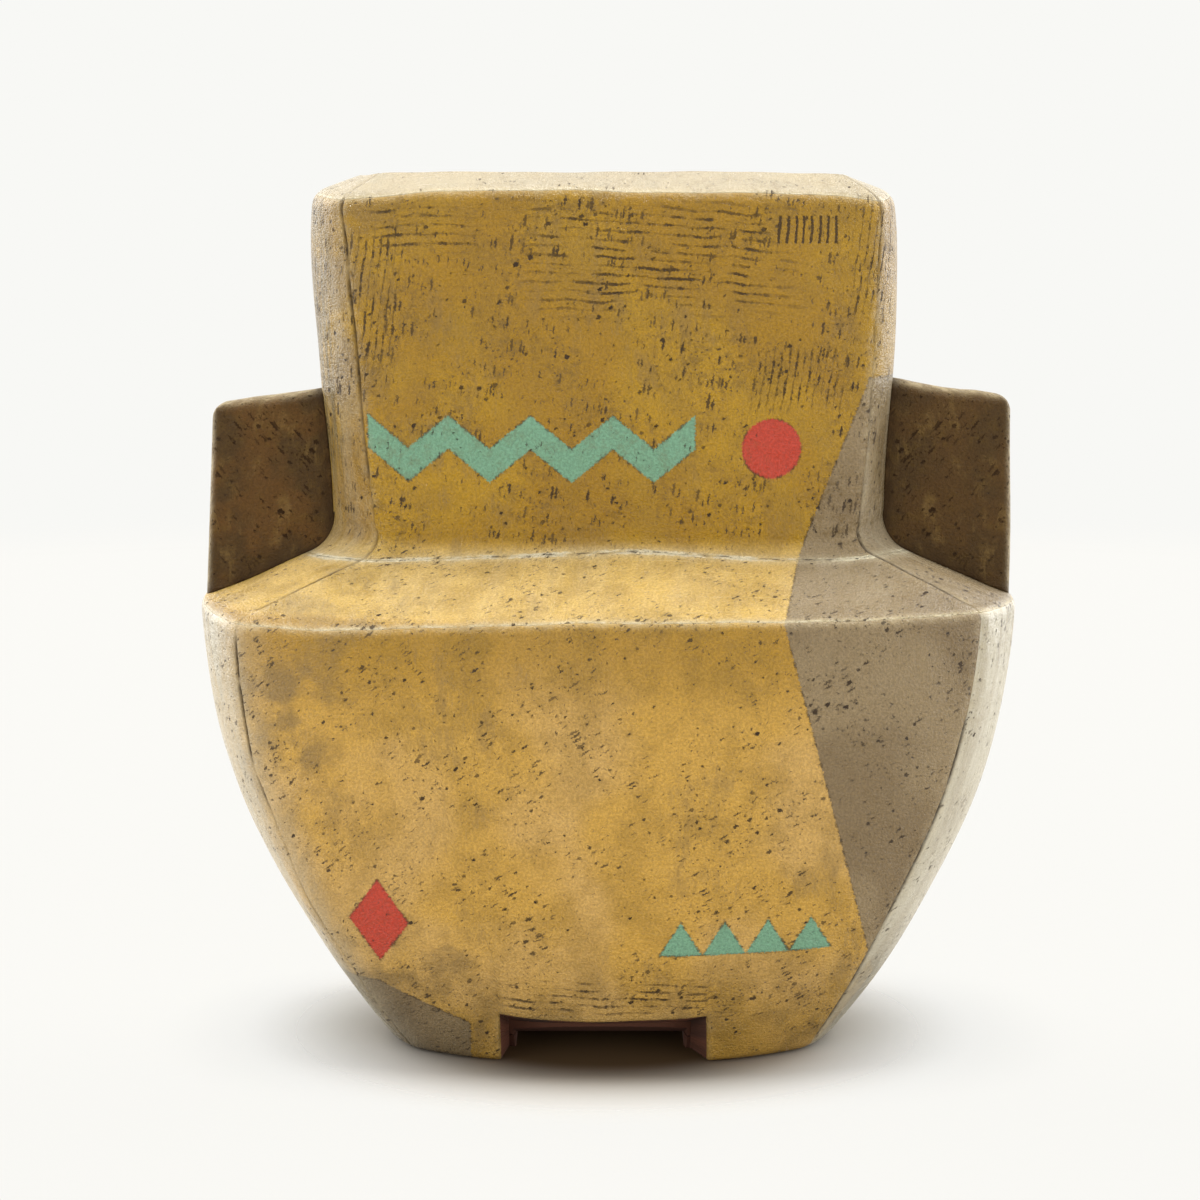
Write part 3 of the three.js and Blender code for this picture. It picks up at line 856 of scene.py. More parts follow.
# One slab of a storey, from its outline; returns how far its outer face runs from bottom to top
def addSlab(storey, wallName, outline, startHeight, materials):
    wall = walls[wallName]
    kind = wall["kind"]
    outerLevels, innerLevels = outline
    sides = [corner.split("-")[1] for corner in wall["corners"]]
    leftOuter, rightOuter = [withCornerShift(outerLevels, side) for side in sides]
    leftInner, rightInner = [withCornerShift(innerLevels, side) for side in sides]
    shares = np.linspace(-1, 1, slabColumns[storey][kind])
    none = np.zeros((len(outerLevels), 0))
    knots = {"shares": np.array([-1.0, 1.0]), "outer": none, "inner": none}
    hole = None
    hasNotch = storey == "body" and kind == "front"
    if hasNotch:
        edges, shares, knots, hole = notchColumns(wallName, outerLevels, innerLevels, shares)
    outer = outerFace(leftOuter, rightOuter, kind, shares, knots["shares"], knots["outer"])
    inner = innerFace(leftInner, rightInner, kind, shares, knots["shares"], knots["inner"])
    rolledValue = 0
    if hasNotch:
        outer, rolledValue = rolledNotch(outer, edges, hole[0])
    outer, inner = turned(outer, wall["turns"]), turned(inner, wall["turns"])
    outer, seamValue, cornerValue = crackedSeams(outer, wall["corners"])
    across = np.linalg.norm(np.diff(outer, axis=1, prepend=outer[:, :1]), axis=-1).cumsum(axis=1)
    across -= across[:, across.shape[1] // 2, None]
    up = np.linalg.norm(np.diff(outer, axis=0, prepend=outer[:1]), axis=-1).cumsum(axis=0)
    edgeValue, creaseValue = rowValues(storey, up)
    edgeValue = np.maximum(edgeValue, rolledValue)
    faces, parts, used = closedShell(*outer.shape[:2], hole)

    # the inner face has no wear and no painted highlight, so its share of every value is nothing
    def outside(amount):
        amounts = np.broadcast_to(amount, across.shape).ravel()
        return np.concatenate([amounts, np.zeros(across.size)])[used]

    points = byHand(np.concatenate([outer.reshape(-1, 3), inner.reshape(-1, 3)]))[used]
    place = np.stack([across + wallShape["textureStep"] * wall["turns"], up + startHeight], axis=-1)
    place = place.reshape(-1, 2)
    pale = slabPale[wallName]
    fromLeft = across - across[:, :1]
    fromSeam = np.minimum(fromLeft, across[:, -1:] - across)
    fading = 1 - pale["lessAtSeams"] * nearness(fromSeam, wearAndHighlightReach["pale"]) * (storey != "lip")
    veil = pale["veil"] * nearness(fromLeft, wearAndHighlightReach["pale"]) * (storey == "body")
    values = {
        "seam": outside(seamValue), "corner": outside(cornerValue),
        "edge": outside(edgeValue), "crease": outside(creaseValue),
        "pale": outside(pale[storey] * fading + veil),
    }
    name = storey + "_" + wallName
    piece = addPiece(
        "glazed_" + name, points, faces, np.minimum(parts, 1), parts < 2, values,
        np.concatenate([place, place])[used], materials,
    )
    finishPiece(piece, "ochre_glaze", name)
    return float(up[-1].mean())


# The storeys from the ground up, each with its texture starting where the one below ends
def addVessel(materials):
    height = 0.0
    outlines = {
        "body": bodyOutline(), "shoulder": shoulderOutline(),
        "neck": neckOutline(), "lip": lipOutline(),
    }
    for storey, outline in outlines.items():
        grown = [addSlab(storey, wallName, outline, height, materials) for wallName in walls]
        height += grown[0]
        print(storey, "slabs made")


fin = {
    "insetLeft": 4.5, "insetRight": 1.5,  # from the widest part of the shoulder
    "rise": 56.3, "topRise": 4.8,  # over the shoulder's edge, and how much more at the neck
    "thickness": 10, "corner": 4.2, "setback": 1.5,
    "round": 3.2, "flatEdge": 2.2,  # the edges are rounded down to half this flat
    "flare": 1.1, "flareReach": 2.2,  # where it is worked onto the vessel
    "clearance": 0.06,
    "across": 90, "up": 96, "arcSteps": 8,
    "dark": 0.8,  # how much oxide stays in the joint
    # how far the upper edge stands off, along X, and the height where that starts
    "topAcross": [-112, -100, -94, -84, 84, 91, 96, 101, 105, 112],
    "topLift": [-1.1, -1.5, -1.9, -1.7, 1.1, 0.7, 0.3, 0.3, 0.8, 0.9],
    "liftFrom": 150,
}


# A path's points at even shares of its length
def evenly(path, count):
    lengths = np.concatenate([[0], np.linalg.norm(np.diff(path, axis=0), axis=1).cumsum()])
    places = np.linspace(0, lengths[-1], count)
    return np.stack([np.interp(places, lengths, path[:, axis]) for axis in range(path.shape[1])], axis=-1)


# A patch between four edges: across and up blends added, less the blend of the corners
def patchBetween(bottom, top, left, right):
    u = np.linspace(0, 1, len(bottom))[None, :, None]
    v = np.linspace(0, 1, len(left))[:, None, None]
    upward = (1 - v) * bottom[None] + v * top[None]
    across = (1 - u) * left[:, None] + u * right[:, None]
    corners = (1 - v) * ((1 - u) * bottom[0] + u * bottom[-1]) + v * ((1 - u) * top[0] + u * top[-1])
    return upward + across - corners


# The outline of a fin in four paths: the bottom along the shoulder, the top to the middle of its
# round corner, the left along the neck, and the right up the outer edge to that corner
def finPaths(sideName, inset):
    contactY = fin["thickness"] / 2 + fin["flare"]
    outerTop = body["edgeHeight"] + fin["rise"]
    innerTop = outerTop + fin["topRise"]
    reach = body["bellyWidth"] / 2 - inset
    foot = body["bellyWidth"] / 2 - fin["setback"]
    levels = np.concatenate([shoulderOutline()[0], neckOutline()[0][1:]])
    levels = withCornerShift(levels, sideName)
    line = onWall(levels, "end", np.full((len(levels), 1), contactY))[:, 0]
    line = np.stack([-line[:, 1], line[:, 2]], axis=-1) + fin["clearance"]
    isShoulder = (line[:, 0] < foot) & (line[:, 1] < neckFootHeight)
    isNeck = (line[:, 1] >= neckFootHeight) & (line[:, 1] < innerTop)
    onShoulder = line[:body["edgeRows"] + neck["slopeRows"]]
    footZ = np.interp(-foot, -onShoulder[:, 0], onShoulder[:, 1])
    topX = np.interp(innerTop, line[:, 1], line[:, 0])
    turn = np.linspace(0, math.pi / 2, 2 * fin["arcSteps"] + 1)
    arc = np.stack([np.sin(turn), np.cos(turn)], axis=-1) * fin["corner"]
    arc += [reach - fin["corner"], outerTop - fin["corner"]]
    arc[:, 1] += (innerTop - outerTop) / (reach - topX) * (reach - arc[:, 0])
    bottom = np.concatenate([[line[isNeck][0]], line[isShoulder][::-1], [[foot, footZ]]])
    left = np.concatenate([line[isNeck], [[topX, innerTop]]])
    top = np.concatenate([[[topX, innerTop]], arc[:fin["arcSteps"] + 1]])
    right = np.concatenate([[[foot, footZ]], arc[fin["arcSteps"]:][::-1]])
    paths = ((bottom, "across"), (top, "across"), (left, "up"), (right, "up"))
    return [evenly(path, fin[count]) for path, count in paths]


# One fin: a sheet between its four paths, as thick as half its thickness less the round of its free
# edges, plus e^-(distance from the vessel / reach)^2 of clay worked onto the vessel
def addFin(sideName, inset, materials):
    sign = -1 if sideName == "left" else 1
    half = fin["thickness"] / 2
    bottom, top, left, right = finPaths(sideName, inset)
    sheet = patchBetween(bottom, top, left, right)
    height = left[-1, 1] - fin["liftFrom"]
    lift = np.interp(sign * sheet[..., 0], fin["topAcross"], fin["topLift"])
    lift *= smooth((sheet[..., 1] - fin["liftFrom"]) / height)

    def distanceTo(columnEdge, rowEdge):
        toColumn = np.linalg.norm(sheet - columnEdge[:, None], axis=-1)
        return np.minimum(toColumn, np.linalg.norm(sheet - rowEdge[None], axis=-1))

    fromFree, fromVessel = distanceTo(right, top), distanceTo(left, bottom)
    near = np.clip(fin["round"] - fromFree, 0, fin["round"])
    drop = 1 - np.sqrt(1 - (near / fin["round"]) ** 2)
    thick = half - (half - fin["flatEdge"]) * drop
    thick += fin["flare"] * nearness(fromVessel, fin["flareReach"]) * (1 - drop)
    x, z = sign * sheet[..., 0], sheet[..., 1] + lift
    outer = np.stack([x, -thick, z], axis=-1)
    inner = np.stack([x, thick, z], axis=-1)
    faces, _, used = closedShell(*outer.shape[:2])
    if sign < 0:
        faces = faces[:, ::-1]
    points = byHand(np.concatenate([outer.reshape(-1, 3), inner.reshape(-1, 3)]))[used]

    def both(amount):
        return np.concatenate([amount.ravel()] * 2)[used]

    wearAndHighlight = both(nearness(fromFree, wearAndHighlightReach["edge"]))
    joint = both(nearness(fromVessel, wearAndHighlightReach["crease"]))
    values = {"seam": joint * fin["dark"], "corner": wearAndHighlight, "edge": wearAndHighlight, "crease": joint}
    # the texture's place shifts with the depth as well, so that it runs on round the free edges
    depth = np.concatenate([outer[..., 1].ravel(), inner[..., 1].ravel()])[used]
    place = np.stack([both(sheet[..., 0]) + depth, both(z) + depth], axis=-1)
    material, isSmooth = np.zeros(len(faces)), np.full(len(faces), True)
    name = "glazed_fin_" + sideName
    piece = addPiece(name, points, faces, material, isSmooth, values, place, materials)
    finishPiece(piece, "taupe_glaze", "fin_" + sideName)


# The textures lie flat on the slabs. Flat is a place on a slab in millimetres, along it and up it,
# and Torn shakes that place a little so that outlines come out ragged.

# Soft clouds in a glaze: warm patches, dirty smudges, the brush's streaks and fine grain
def makeGlazeClouds():
    results = ["warm", "smudge", "streaks", "strokes", "runs", "grain"]
    tree, given, out = newGroup("glazeClouds", ["Flat"], ["Patch", "Smudge"], results)
    flat = given["Flat"]
    patch = divided(tree, 1.0, given["Patch"])
    smudge = divided(tree, 1.0, given["Smudge"])
    brushed = stretched(tree, flat, 1.0, 0.42)
    fine = eased(tree, noise(tree, brushed, smudge, 5, 0.74, 0.1), 0.48, 0.72)
    wide = eased(tree, noise(tree, moved(tree, flat, 31, 7), patch, 2), 0.44, 0.60)
    level = noise(tree, stretched(tree, flat, 0.045, 0.55), 1.0, 3, 0.62)
    upright = noise(tree, stretched(tree, flat, 0.55, 0.045), 1.0, 3, 0.62)
    broad = noise(tree, stretched(tree, flat, 0.13, 0.022), 1.0, 3, 0.6)
    side = eased(tree, noise(tree, moved(tree, flat, 5, 90), 0.02, 1), 0.44, 0.56)
    streaks = node(tree, "ShaderNodeMix", {0: side, 2: level, 3: upright}, data_type="FLOAT")
    tree.links.new(eased(tree, noise(tree, flat, patch, 2, 0.55), 0.38, 0.62), out["warm"])
    tree.links.new(times(tree, fine, wide), out["smudge"])
    tree.links.new(streaks.outputs[0], out["streaks"])
    tree.links.new(upright, out["strokes"])
    tree.links.new(broad, out["runs"])
    tree.links.new(noise(tree, flat, 1.3, 2, 0.75), out["grain"])
    return tree


# Pits in the clay with dark oxide in them: a spot about each scattered point, as large as its own
# chance^Power allows, turned and drawn out. Crowd is how much of them there is at a place.
def makeClayPits():
    tree, given, out = newGroup(
        "clayPits", ["Flat", "Torn"],
        ["Spacing", "Size", "Power", "Turned", "Drawn", "Seed", "Crowd"], ["pits"])
    shaken = vectorCalc(tree, "ADD", given["Flat"], given["Torn"])
    along, up = rotated(tree, shaken, given["Turned"])
    along = calc(tree, "ADD", divided(tree, along, given["Drawn"]), given["Seed"])
    cellPlace = node(tree, "ShaderNodeCombineXYZ", {0: along, 1: up, 2: 0.0}).outputs[0]
    scale = divided(tree, 1.0, given["Spacing"])
    cells = node(
        tree, "ShaderNodeTexVoronoi", {"Vector": cellPlace, "Scale": scale, "Randomness": 1.0},
        voronoi_dimensions="2D")
    chance = node(tree, "ShaderNodeSeparateColor", {0: cells.outputs["Color"]}).outputs
    radius = times(tree, calc(tree, "POWER", chance[0], given["Power"]), given["Size"])
    radius = times(tree, radius, given["Crowd"])
    distance = times(tree, cells.outputs["Distance"], given["Spacing"])
    spot = divided(tree, less(tree, radius, distance), 0.10, clamp=True)
    tone = timesPlus(tree, chance[1], 0.35, 0.65)
    tree.links.new(times(tree, spot, tone), out["pits"])
    return tree


# Scored lines with oxide in them, as from a comb dragged over soft clay: a Spacing apart, Turned
# from level, broken into runs that taper at both ends. Share is how much of them is left.
def makeCombLines():
    tree, given, out = newGroup(
        "combLines", ["Flat", "Torn"], ["Turned", "Spacing", "Run", "Share"], ["lines"])
    shaken = vectorCalc(tree, "MULTIPLY_ADD", given["Torn"], (0.6,) * 3, given["Flat"])
    along, across = rotated(tree, shaken, given["Turned"])
    uneven = noise(tree, shaken, 0.12, 1)
    phase = timesPlus(tree, uneven, 0.55, divided(tree, across, given["Spacing"]))
    fromLine = absolute(tree, less(tree, calc(tree, "FRACT", phase), 0.5))
    row = times(tree, calc(tree, "FLOOR", phase), 7.31)  # so that each line breaks up its own way
    run = divided(tree, along, given["Run"])
    place = node(tree, "ShaderNodeCombineXYZ", {0: run, 1: row, 2: 0.0}).outputs[0]
    cut = noise(tree, place, 1.0, 5, 0.78)
    low = timesPlus(tree, given["Share"], -0.36, 0.66)
    strength = eased(tree, cut, low, calc(tree, "ADD", low, 0.14))
    faint = eased(tree, cut, less(tree, low, 0.14), low)
    width = timesPlus(tree, strength, 0.08, times(tree, faint, 0.10))
    line = divided(tree, less(tree, width, fromLine), 0.07, clamp=True)
    line = times(tree, line, timesPlus(tree, strength, 0.62, 0.38))
    tree.links.new(line, out["lines"])
    return tree


# Where oxide stays in seams and creases and glaze has run thin on the edges, with a painted highlight
# on the edges
def makeEdgeWearAndHighlight():
    tree, given, out = newGroup("edgeWearAndHighlight", ["Flat"], [], ["dark", "wornAndHighlight"])
    names = ("seam", "corner", "edge", "crease")
    seam, corner, edge, crease = [attribute(tree, name) for name in names]
    patchy = noise(tree, given["Flat"], 0.22, 4, 0.7)
    torn = eased(tree, patchy, 0.40, 0.62)
    crease = times(tree, calc(tree, "POWER", crease, 16.0), eased(tree, patchy, 0.52, 0.66))
    seam = times(tree, seam, timesPlus(tree, torn, 0.4, 0.7))
    tree.links.new(most(tree, crease, seam, clamp=True), out["dark"])
    corner = times(tree, corner, times(tree, torn, 0.35))
    edge = times(tree, edge, timesPlus(tree, torn, 0.5, 0.45))
    tree.links.new(most(tree, corner, edge, clamp=True), out["wornAndHighlight"])
    return tree


# The painted shapes, each by its distance from its own outline in millimetres, less than 0 inside.
# Right and Up are measured from the vase's middle and from the ground.
painted = {
    "soft": 0.3,  # width of a brushed outline
    "ribbonLeft": -66, "ribbonRight": 24, "ribbonHeight": 171,
    "ribbonRise": 4.6, "ribbonStep": 22.5, "ribbonHalf": 3.6,
    "discRight": 45, "discUp": 171, "discRadius": 8.2,
    "leafRight": -63, "leafUp": 42, "leafHalfWidth": 8.5, "leafHalfHeight": 12.5, "leafSlope": 6.5,
    "rimFrom": 0.55, "rimTo": 0.1,  # oxide lies this near to an outline
    "teethLeft": 14, "teethRight": 62, "teethUp": 34, "teethStep": 12, "teethHeight": 10,
    "dipRight": 47, "dipUp": 127, "dipLean": 0.27, "dipLeanAbove": 0.40, "dipTop": 190,
    "heelRight": -38, "heelUp": 12, "heelLean": 0.42, "heelTop": 23,
}


def makePaintedShapes():
    tree, given, out = newGroup("paintedShapes", ["Place", "Torn"], [], ["teal", "coral", "taupe", "rim"])
    shaken = vectorCalc(tree, "ADD", given["Place"], given["Torn"])
    right, up = rightAndUp(tree, shaken)

    def within(distance):
        return timesPlus(tree, distance, -1 / painted["soft"], 0.5, clamp=True)

    # ribbon: a zigzag, its middle line a triangle wave of the place along it
    turn = divided(tree, less(tree, right, painted["ribbonLeft"]), painted["ribbonStep"])
    fromTurn = absolute(tree, less(tree, calc(tree, "FRACT", turn), 0.5))
    wave = timesPlus(tree, fromTurn, 4.0, -1.0)
    middle = timesPlus(tree, wave, painted["ribbonRise"], painted["ribbonHeight"])
    lean = math.cos(math.atan(4 * painted["ribbonRise"] / painted["ribbonStep"]))
    fromLine = absolute(tree, less(tree, up, middle))
    fromLine = timesPlus(tree, fromLine, lean, -painted["ribbonHalf"])
    ribbon = most(
        tree, fromLine,
        less(tree, painted["ribbonLeft"], right), less(tree, right, painted["ribbonRight"]))
    # teeth: a row of upright triangles
    tooth = divided(tree, less(tree, right, painted["teethLeft"]), painted["teethStep"])
    sideways = absolute(tree, less(tree, calc(tree, "FRACT", tooth), 0.5))
    raised = less(tree, up, painted["teethUp"])
    slanted = timesPlus(tree, sideways, 2 * painted["teethHeight"], raised)
    slanted = timesPlus(tree, slanted, 0.5, -0.5 * painted["teethHeight"])
    teeth = most(
        tree, slanted, less(tree, painted["teethUp"], up),
        less(tree, painted["teethLeft"], right), less(tree, right, painted["teethRight"]))
    teal = least(tree, ribbon, teeth)
    # disc and leaf
    x, z = less(tree, right, painted["discRight"]), less(tree, up, painted["discUp"])
    fromDisc = node(tree, "ShaderNodeCombineXYZ", {0: x, 1: z, 2: 0.0}).outputs[0]
    disc = vectorCalc(tree, "LENGTH", fromDisc)
    disc = less(tree, disc, painted["discRadius"])
    leafX = absolute(tree, less(tree, right, painted["leafRight"]))
    leafZ = absolute(tree, less(tree, up, painted["leafUp"]))
    leafX = divided(tree, leafX, painted["leafHalfWidth"])
    leaf = timesPlus(tree, leafZ, 1 / painted["leafHalfHeight"], leafX)
    leaf = timesPlus(tree, leaf, painted["leafSlope"], -painted["leafSlope"])
    coral = least(tree, disc, leaf)
    # the dip of taupe glaze: right of a line that bends at the shoulder's edge, and the left heel
    over = less(tree, up, painted["dipUp"])
    line = timesPlus(tree, most(tree, over, 0.0), painted["dipLeanAbove"], painted["dipRight"])
    line = timesPlus(tree, least(tree, over, 0.0), -painted["dipLean"], line)
    dip = less(tree, line, right)
    dip = most(tree, dip, less(tree, up, painted["dipTop"]))
    heel = less(tree, painted["heelRight"], right)
    heel = least(tree, timesPlus(tree, heel, painted["heelLean"], painted["heelUp"]), painted["heelTop"])
    heel = most(tree, less(tree, up, heel), less(tree, right, painted["heelRight"]))
    taupe = least(tree, dip, heel)
    nearest = least(tree, absolute(tree, taupe), absolute(tree, coral), absolute(tree, teal))
    for name, shape in (("teal", teal), ("coral", coral), ("taupe", taupe)):
        tree.links.new(within(shape), out[name])
    tree.links.new(eased(tree, nearest, painted["rimFrom"], painted["rimTo"]), out["rim"])
    return tree


glazeClouds, clayPits, combLines = makeGlazeClouds(), makeClayPits(), makeCombLines()
edgeWearAndHighlight, paintedShapes = makeEdgeWearAndHighlight(), makePaintedShapes()

glaze = {
    "golden": (176, 136, 24), "amber": (161, 121, 20),  # the neck
    "sand": (200, 157, 68), "peach": (203, 163, 90),  # the body
    # honey is painted light, lightening the shoulder's upturned top
    "honey": (206, 174, 94),  # the shoulder
    # cream and milk also serve as painted highlights on edges and in the crease, and chalk partly as
    # painted sheen on the end walls
    "cream": (198, 180, 140), "chalk": (196, 189, 168), "milk": (232, 222, 190),
    "ash": (142, 132, 104), "smoke": (112, 102, 74), "olive": (140, 108, 34), "mauve": (136, 110, 64),
    "taupe": (146, 126, 92), "taupeDark": (128, 108, 76),
    "finBrown": (92, 64, 28), "finDark": (74, 54, 26),
    "teal": (118, 164, 134), "coral": (190, 64, 44),
    "oxide": (46, 29, 8), "dirt": (104, 80, 32), "umber": (62, 52, 34),
}

# The comb marks: how their lines lie, where they are as (right, up, half width, half height), over
# the front and the back alike, and how softly such an area ends
combMarks = {
    "level": {
        "lines": {"Turned": 0.05, "Spacing": 2.3, "Run": 10.0, "Share": 0.62},
        "areas": [(14, 223, 34, 14), (-50, 231, 14, 6), (0, 21, 30, 5)], "soft": 0.35,
    },
    "ticks": {
        "lines": {"Turned": 1.6, "Spacing": 2.4, "Run": 20.0, "Share": 1.0},
        "areas": [(54.5, 230.5, 9.2, 3.7)], "soft": 0.05,
    },
    "slanted": {
        "lines": {"Turned": -1.40, "Spacing": 2.1, "Run": 7.0, "Share": 0.50},
        "areas": [(-64, 212, 7, 18), (73, 222, 6, 15), (52, 190, 12, 8)], "soft": 0.3,
    },
}

# Where smoke has left the glaze grey, in the same way
smoked = {"areas": [(-78, 212, 14, 34), (-88, 100, 14, 24), (-52, 30, 16, 9)], "soft": 0.95}


# A colour with a share of one of the glazes in it
def tinted(tree, share, colour, name):
    return mixed(tree, share, colour, paint(*glaze[name]))


# Millimetre coordinates: the place in the vase, and the flat one on the slab with its shake
def surfacePlaces(tree):
    coordinates = node(tree, "ShaderNodeTexCoord").outputs["Object"]
    slab = node(tree, "ShaderNodeUVMap", uv_map="slab").outputs[0]
    place = vectorCalc(tree, "SCALE", coordinates, Scale=1 / metresPerMm)
    flat = vectorCalc(tree, "SCALE", slab, Scale=1 / metresPerMm)
    ragged = noise(tree, flat, 1.4, 3, 0.7, 0.0, "Color")
    torn = vectorCalc(tree, "SUBTRACT", ragged, (0.5,) * 3)
    return place, flat, vectorCalc(tree, "SCALE", torn, Scale=1.5)


def newMaterial(name):
    material = bpy.data.materials.new(name)
    material.use_nodes = True
    return material, material.node_tree, material.node_tree.nodes["Principled BSDF"]


# A relief in millimetres, as a bump on the surface
def addRelief(tree, shader, relief):
    bump = node(tree, "ShaderNodeBump", {"Height": relief, "Strength": 1.0, "Distance": metresPerMm})
    tree.links.new(bump.outputs[0], shader.inputs["Normal"])


# 1 inside any of the areas, with soft edges
def insideAreas(tree, place, areas, soft):
    right, up = rightAndUp(tree, place)
    result = 0.0
    for middle, height, halfWidth, halfHeight in areas:
        x = divided(tree, less(tree, right, middle), halfWidth)
        z = divided(tree, less(tree, up, height), halfHeight)
        outward = most(tree, absolute(tree, x), absolute(tree, z))
        result = most(tree, result, eased(tree, outward, 1 + soft, 1 - soft))
    return result


# All the comb marks; the level ones are worn away in places
def scoredLines(tree, place, flat, torn):
    kept = eased(tree, noise(tree, moved(tree, flat, 60, 20), 0.11, 3, 0.6), 0.38, 0.56)
    result = 0.0
    for name, comb in combMarks.items():
        lines = useGroup(tree, combLines, Flat=flat, Torn=torn, **comb["lines"])["lines"]
        lines = times(tree, lines, insideAreas(tree, place, comb["areas"], comb["soft"]))
        if name == "level":
            lines = times(tree, lines, kept)
        result = most(tree, result, lines)
    return result


# Three layers of pits. A glaze's look gives the size and the turn of its dashes.
pitLayers = {
    "big": {"Spacing": 2.8, "Size": 0.52, "Power": 2.4, "Turned": -0.5, "Drawn": 1.5, "Seed": 0.0},
    "specks": {"Spacing": 1.1, "Size": 0.27, "Power": 1.6, "Turned": -0.3, "Drawn": 1.3, "Seed": 41.0},
    "dashes": {"Spacing": 1.3, "Power": 1.7, "Drawn": 5.0, "Seed": 9.0},
}
# How much each mark darkens a glaze, and how far it stands out of the surface, in millimetres
markDark = {"specks": 0.85, "dashes": 0.95, "lines": 0.9, "seams": 0.92}
markRelief = {"big": -0.45, "lines": -0.25, "streaks": 0.04, "grain": 0.5, "calmGrain": -0.4, "swell": 0.9}


# Marks, wear and painted edge highlights over a glaze's own colour, and the relief that goes with them.
# The look gives gloss (roughness of a clean patch), pits, dirt, dashSize and dashTurn, and marked is
# where they show.
def finishGlaze(tree, shader, colour, clouds, flat, torn, look, lines=0.0, marked=1.0):
    crowd = eased(tree, noise(tree, moved(tree, flat, 17, 3), 0.055, 3, 0.65), 0.36, 0.64)
    dirt = times(tree, crowd, eased(tree, noise(tree, flat, 0.35, 4, 0.75), 0.44, 0.66))
    dirt = times(tree, dirt, marked)
    crowd = timesPlus(tree, crowd, 0.75 * look["pits"], 0.45 * look["pits"])
    marks = {"Flat": flat, "Torn": torn, "Crowd": times(tree, crowd, marked)}
    big = useGroup(tree, clayPits, **marks, **pitLayers["big"])["pits"]
    specks = useGroup(tree, clayPits, **marks, **pitLayers["specks"])["pits"]
    marks.update(Size=look["dashSize"], Turned=look["dashTurn"])
    dashes = useGroup(tree, clayPits, **marks, **pitLayers["dashes"])["pits"]
    wearAndHighlight = useGroup(tree, edgeWearAndHighlight, Flat=flat)
    # streaks and grain make the glaze lighter and darker, but hardly where it is pale, with chalk and
    # painted sheen
    light = timesPlus(tree, clouds["streaks"], 0.2, timesPlus(tree, clouds["grain"], 3.2, -0.77))
    inputs = {"Value": light, "From Min": 0.6, "From Max": 1.4, "To Min": 0.86, "To Max": 1.12}
    light = node(tree, "ShaderNodeMapRange", inputs).outputs[0]
    calm = times(tree, attribute(tree, "pale"), 0.8, clamp=True)
    light = node(tree, "ShaderNodeMix", {0: calm, 2: light, 3: 0.97}, data_type="FLOAT").outputs[0]
    shaded = vectorCalc(tree, "SCALE", colour, Scale=light)
    # cream where the glaze wore thin on the edges, partly a painted highlight along them
    shaded = tinted(tree, times(tree, wearAndHighlight["wornAndHighlight"], 0.75), shaded, "cream")
    shaded = tinted(tree, times(tree, dirt, look["dirt"]), shaded, "dirt")
    dark = most(
        tree, times(tree, specks, markDark["specks"]), times(tree, dashes, markDark["dashes"]), big,
        times(tree, lines, markDark["lines"]), times(tree, wearAndHighlight["dark"], markDark["seams"]))
    tree.links.new(tinted(tree, dark, shaded, "oxide"), shader.inputs["Base Color"])
    dull = timesPlus(tree, dark, 0.35, look["gloss"])
    dull = timesPlus(tree, clouds["smudge"], 0.12, dull)
    dull = timesPlus(tree, wearAndHighlight["wornAndHighlight"], -0.05, dull)
    dull = timesPlus(tree, less(tree, clouds["streaks"], 0.5), 0.20, dull)
    tree.links.new(dull, shader.inputs["Roughness"])
    relief = timesPlus(tree, big, markRelief["big"], times(tree, lines, markRelief["lines"]))
    relief = timesPlus(tree, clouds["streaks"], markRelief["streaks"], relief)
    grain = timesPlus(tree, calm, markRelief["calmGrain"], markRelief["grain"])
    relief = timesPlus(tree, clouds["grain"], grain, relief)
    relief = timesPlus(tree, noise(tree, flat, 0.12, 2), markRelief["swell"], relief)
    addRelief(tree, shader, relief)
    shader.inputs["IOR"].default_value = look["ior"]


# The ochre glaze: the size of its clouds, the heights of its changes, each from none of it to all of
# it, and how strong they are
ochre = {
    "patch": 44.0, "smudge": 8.0,
    "heights": {
        "body": (146, 142), "honey": (125, 129), "foot": (38, 14), "lip": (238, 241),
        "underEdge": (94, 122), "overEdge": (128, 126), "onEdge": (122, 124),
        "underRim": (205, 236), "belowLip": (241, 236), "ash": (90, 180), "smoke": (146, 175),
    },
    "honey": 0.6, "amber": 0.75, "amberRim": 0.5, "olive": 0.35, "oliveBand": 0.2,
    "mauve": 0.5, "smoked": 0.7, "milky": 0.32, "pooled": 0.85, "edge": 0.8,
    "umber": 0.22, "umberStains": 0.12, "smoke": 0.82, "outline": 0.7,
    "gloss": 0.24, "ior": 1.38, "pits": 1.0,
    # on the neck, and what the body adds
    "dirt": (0.48, -0.30), "dashSize": (0.42, -0.11),
    "dashTurn": (-0.55, -0.85),  # on the body, and what the neck adds
}


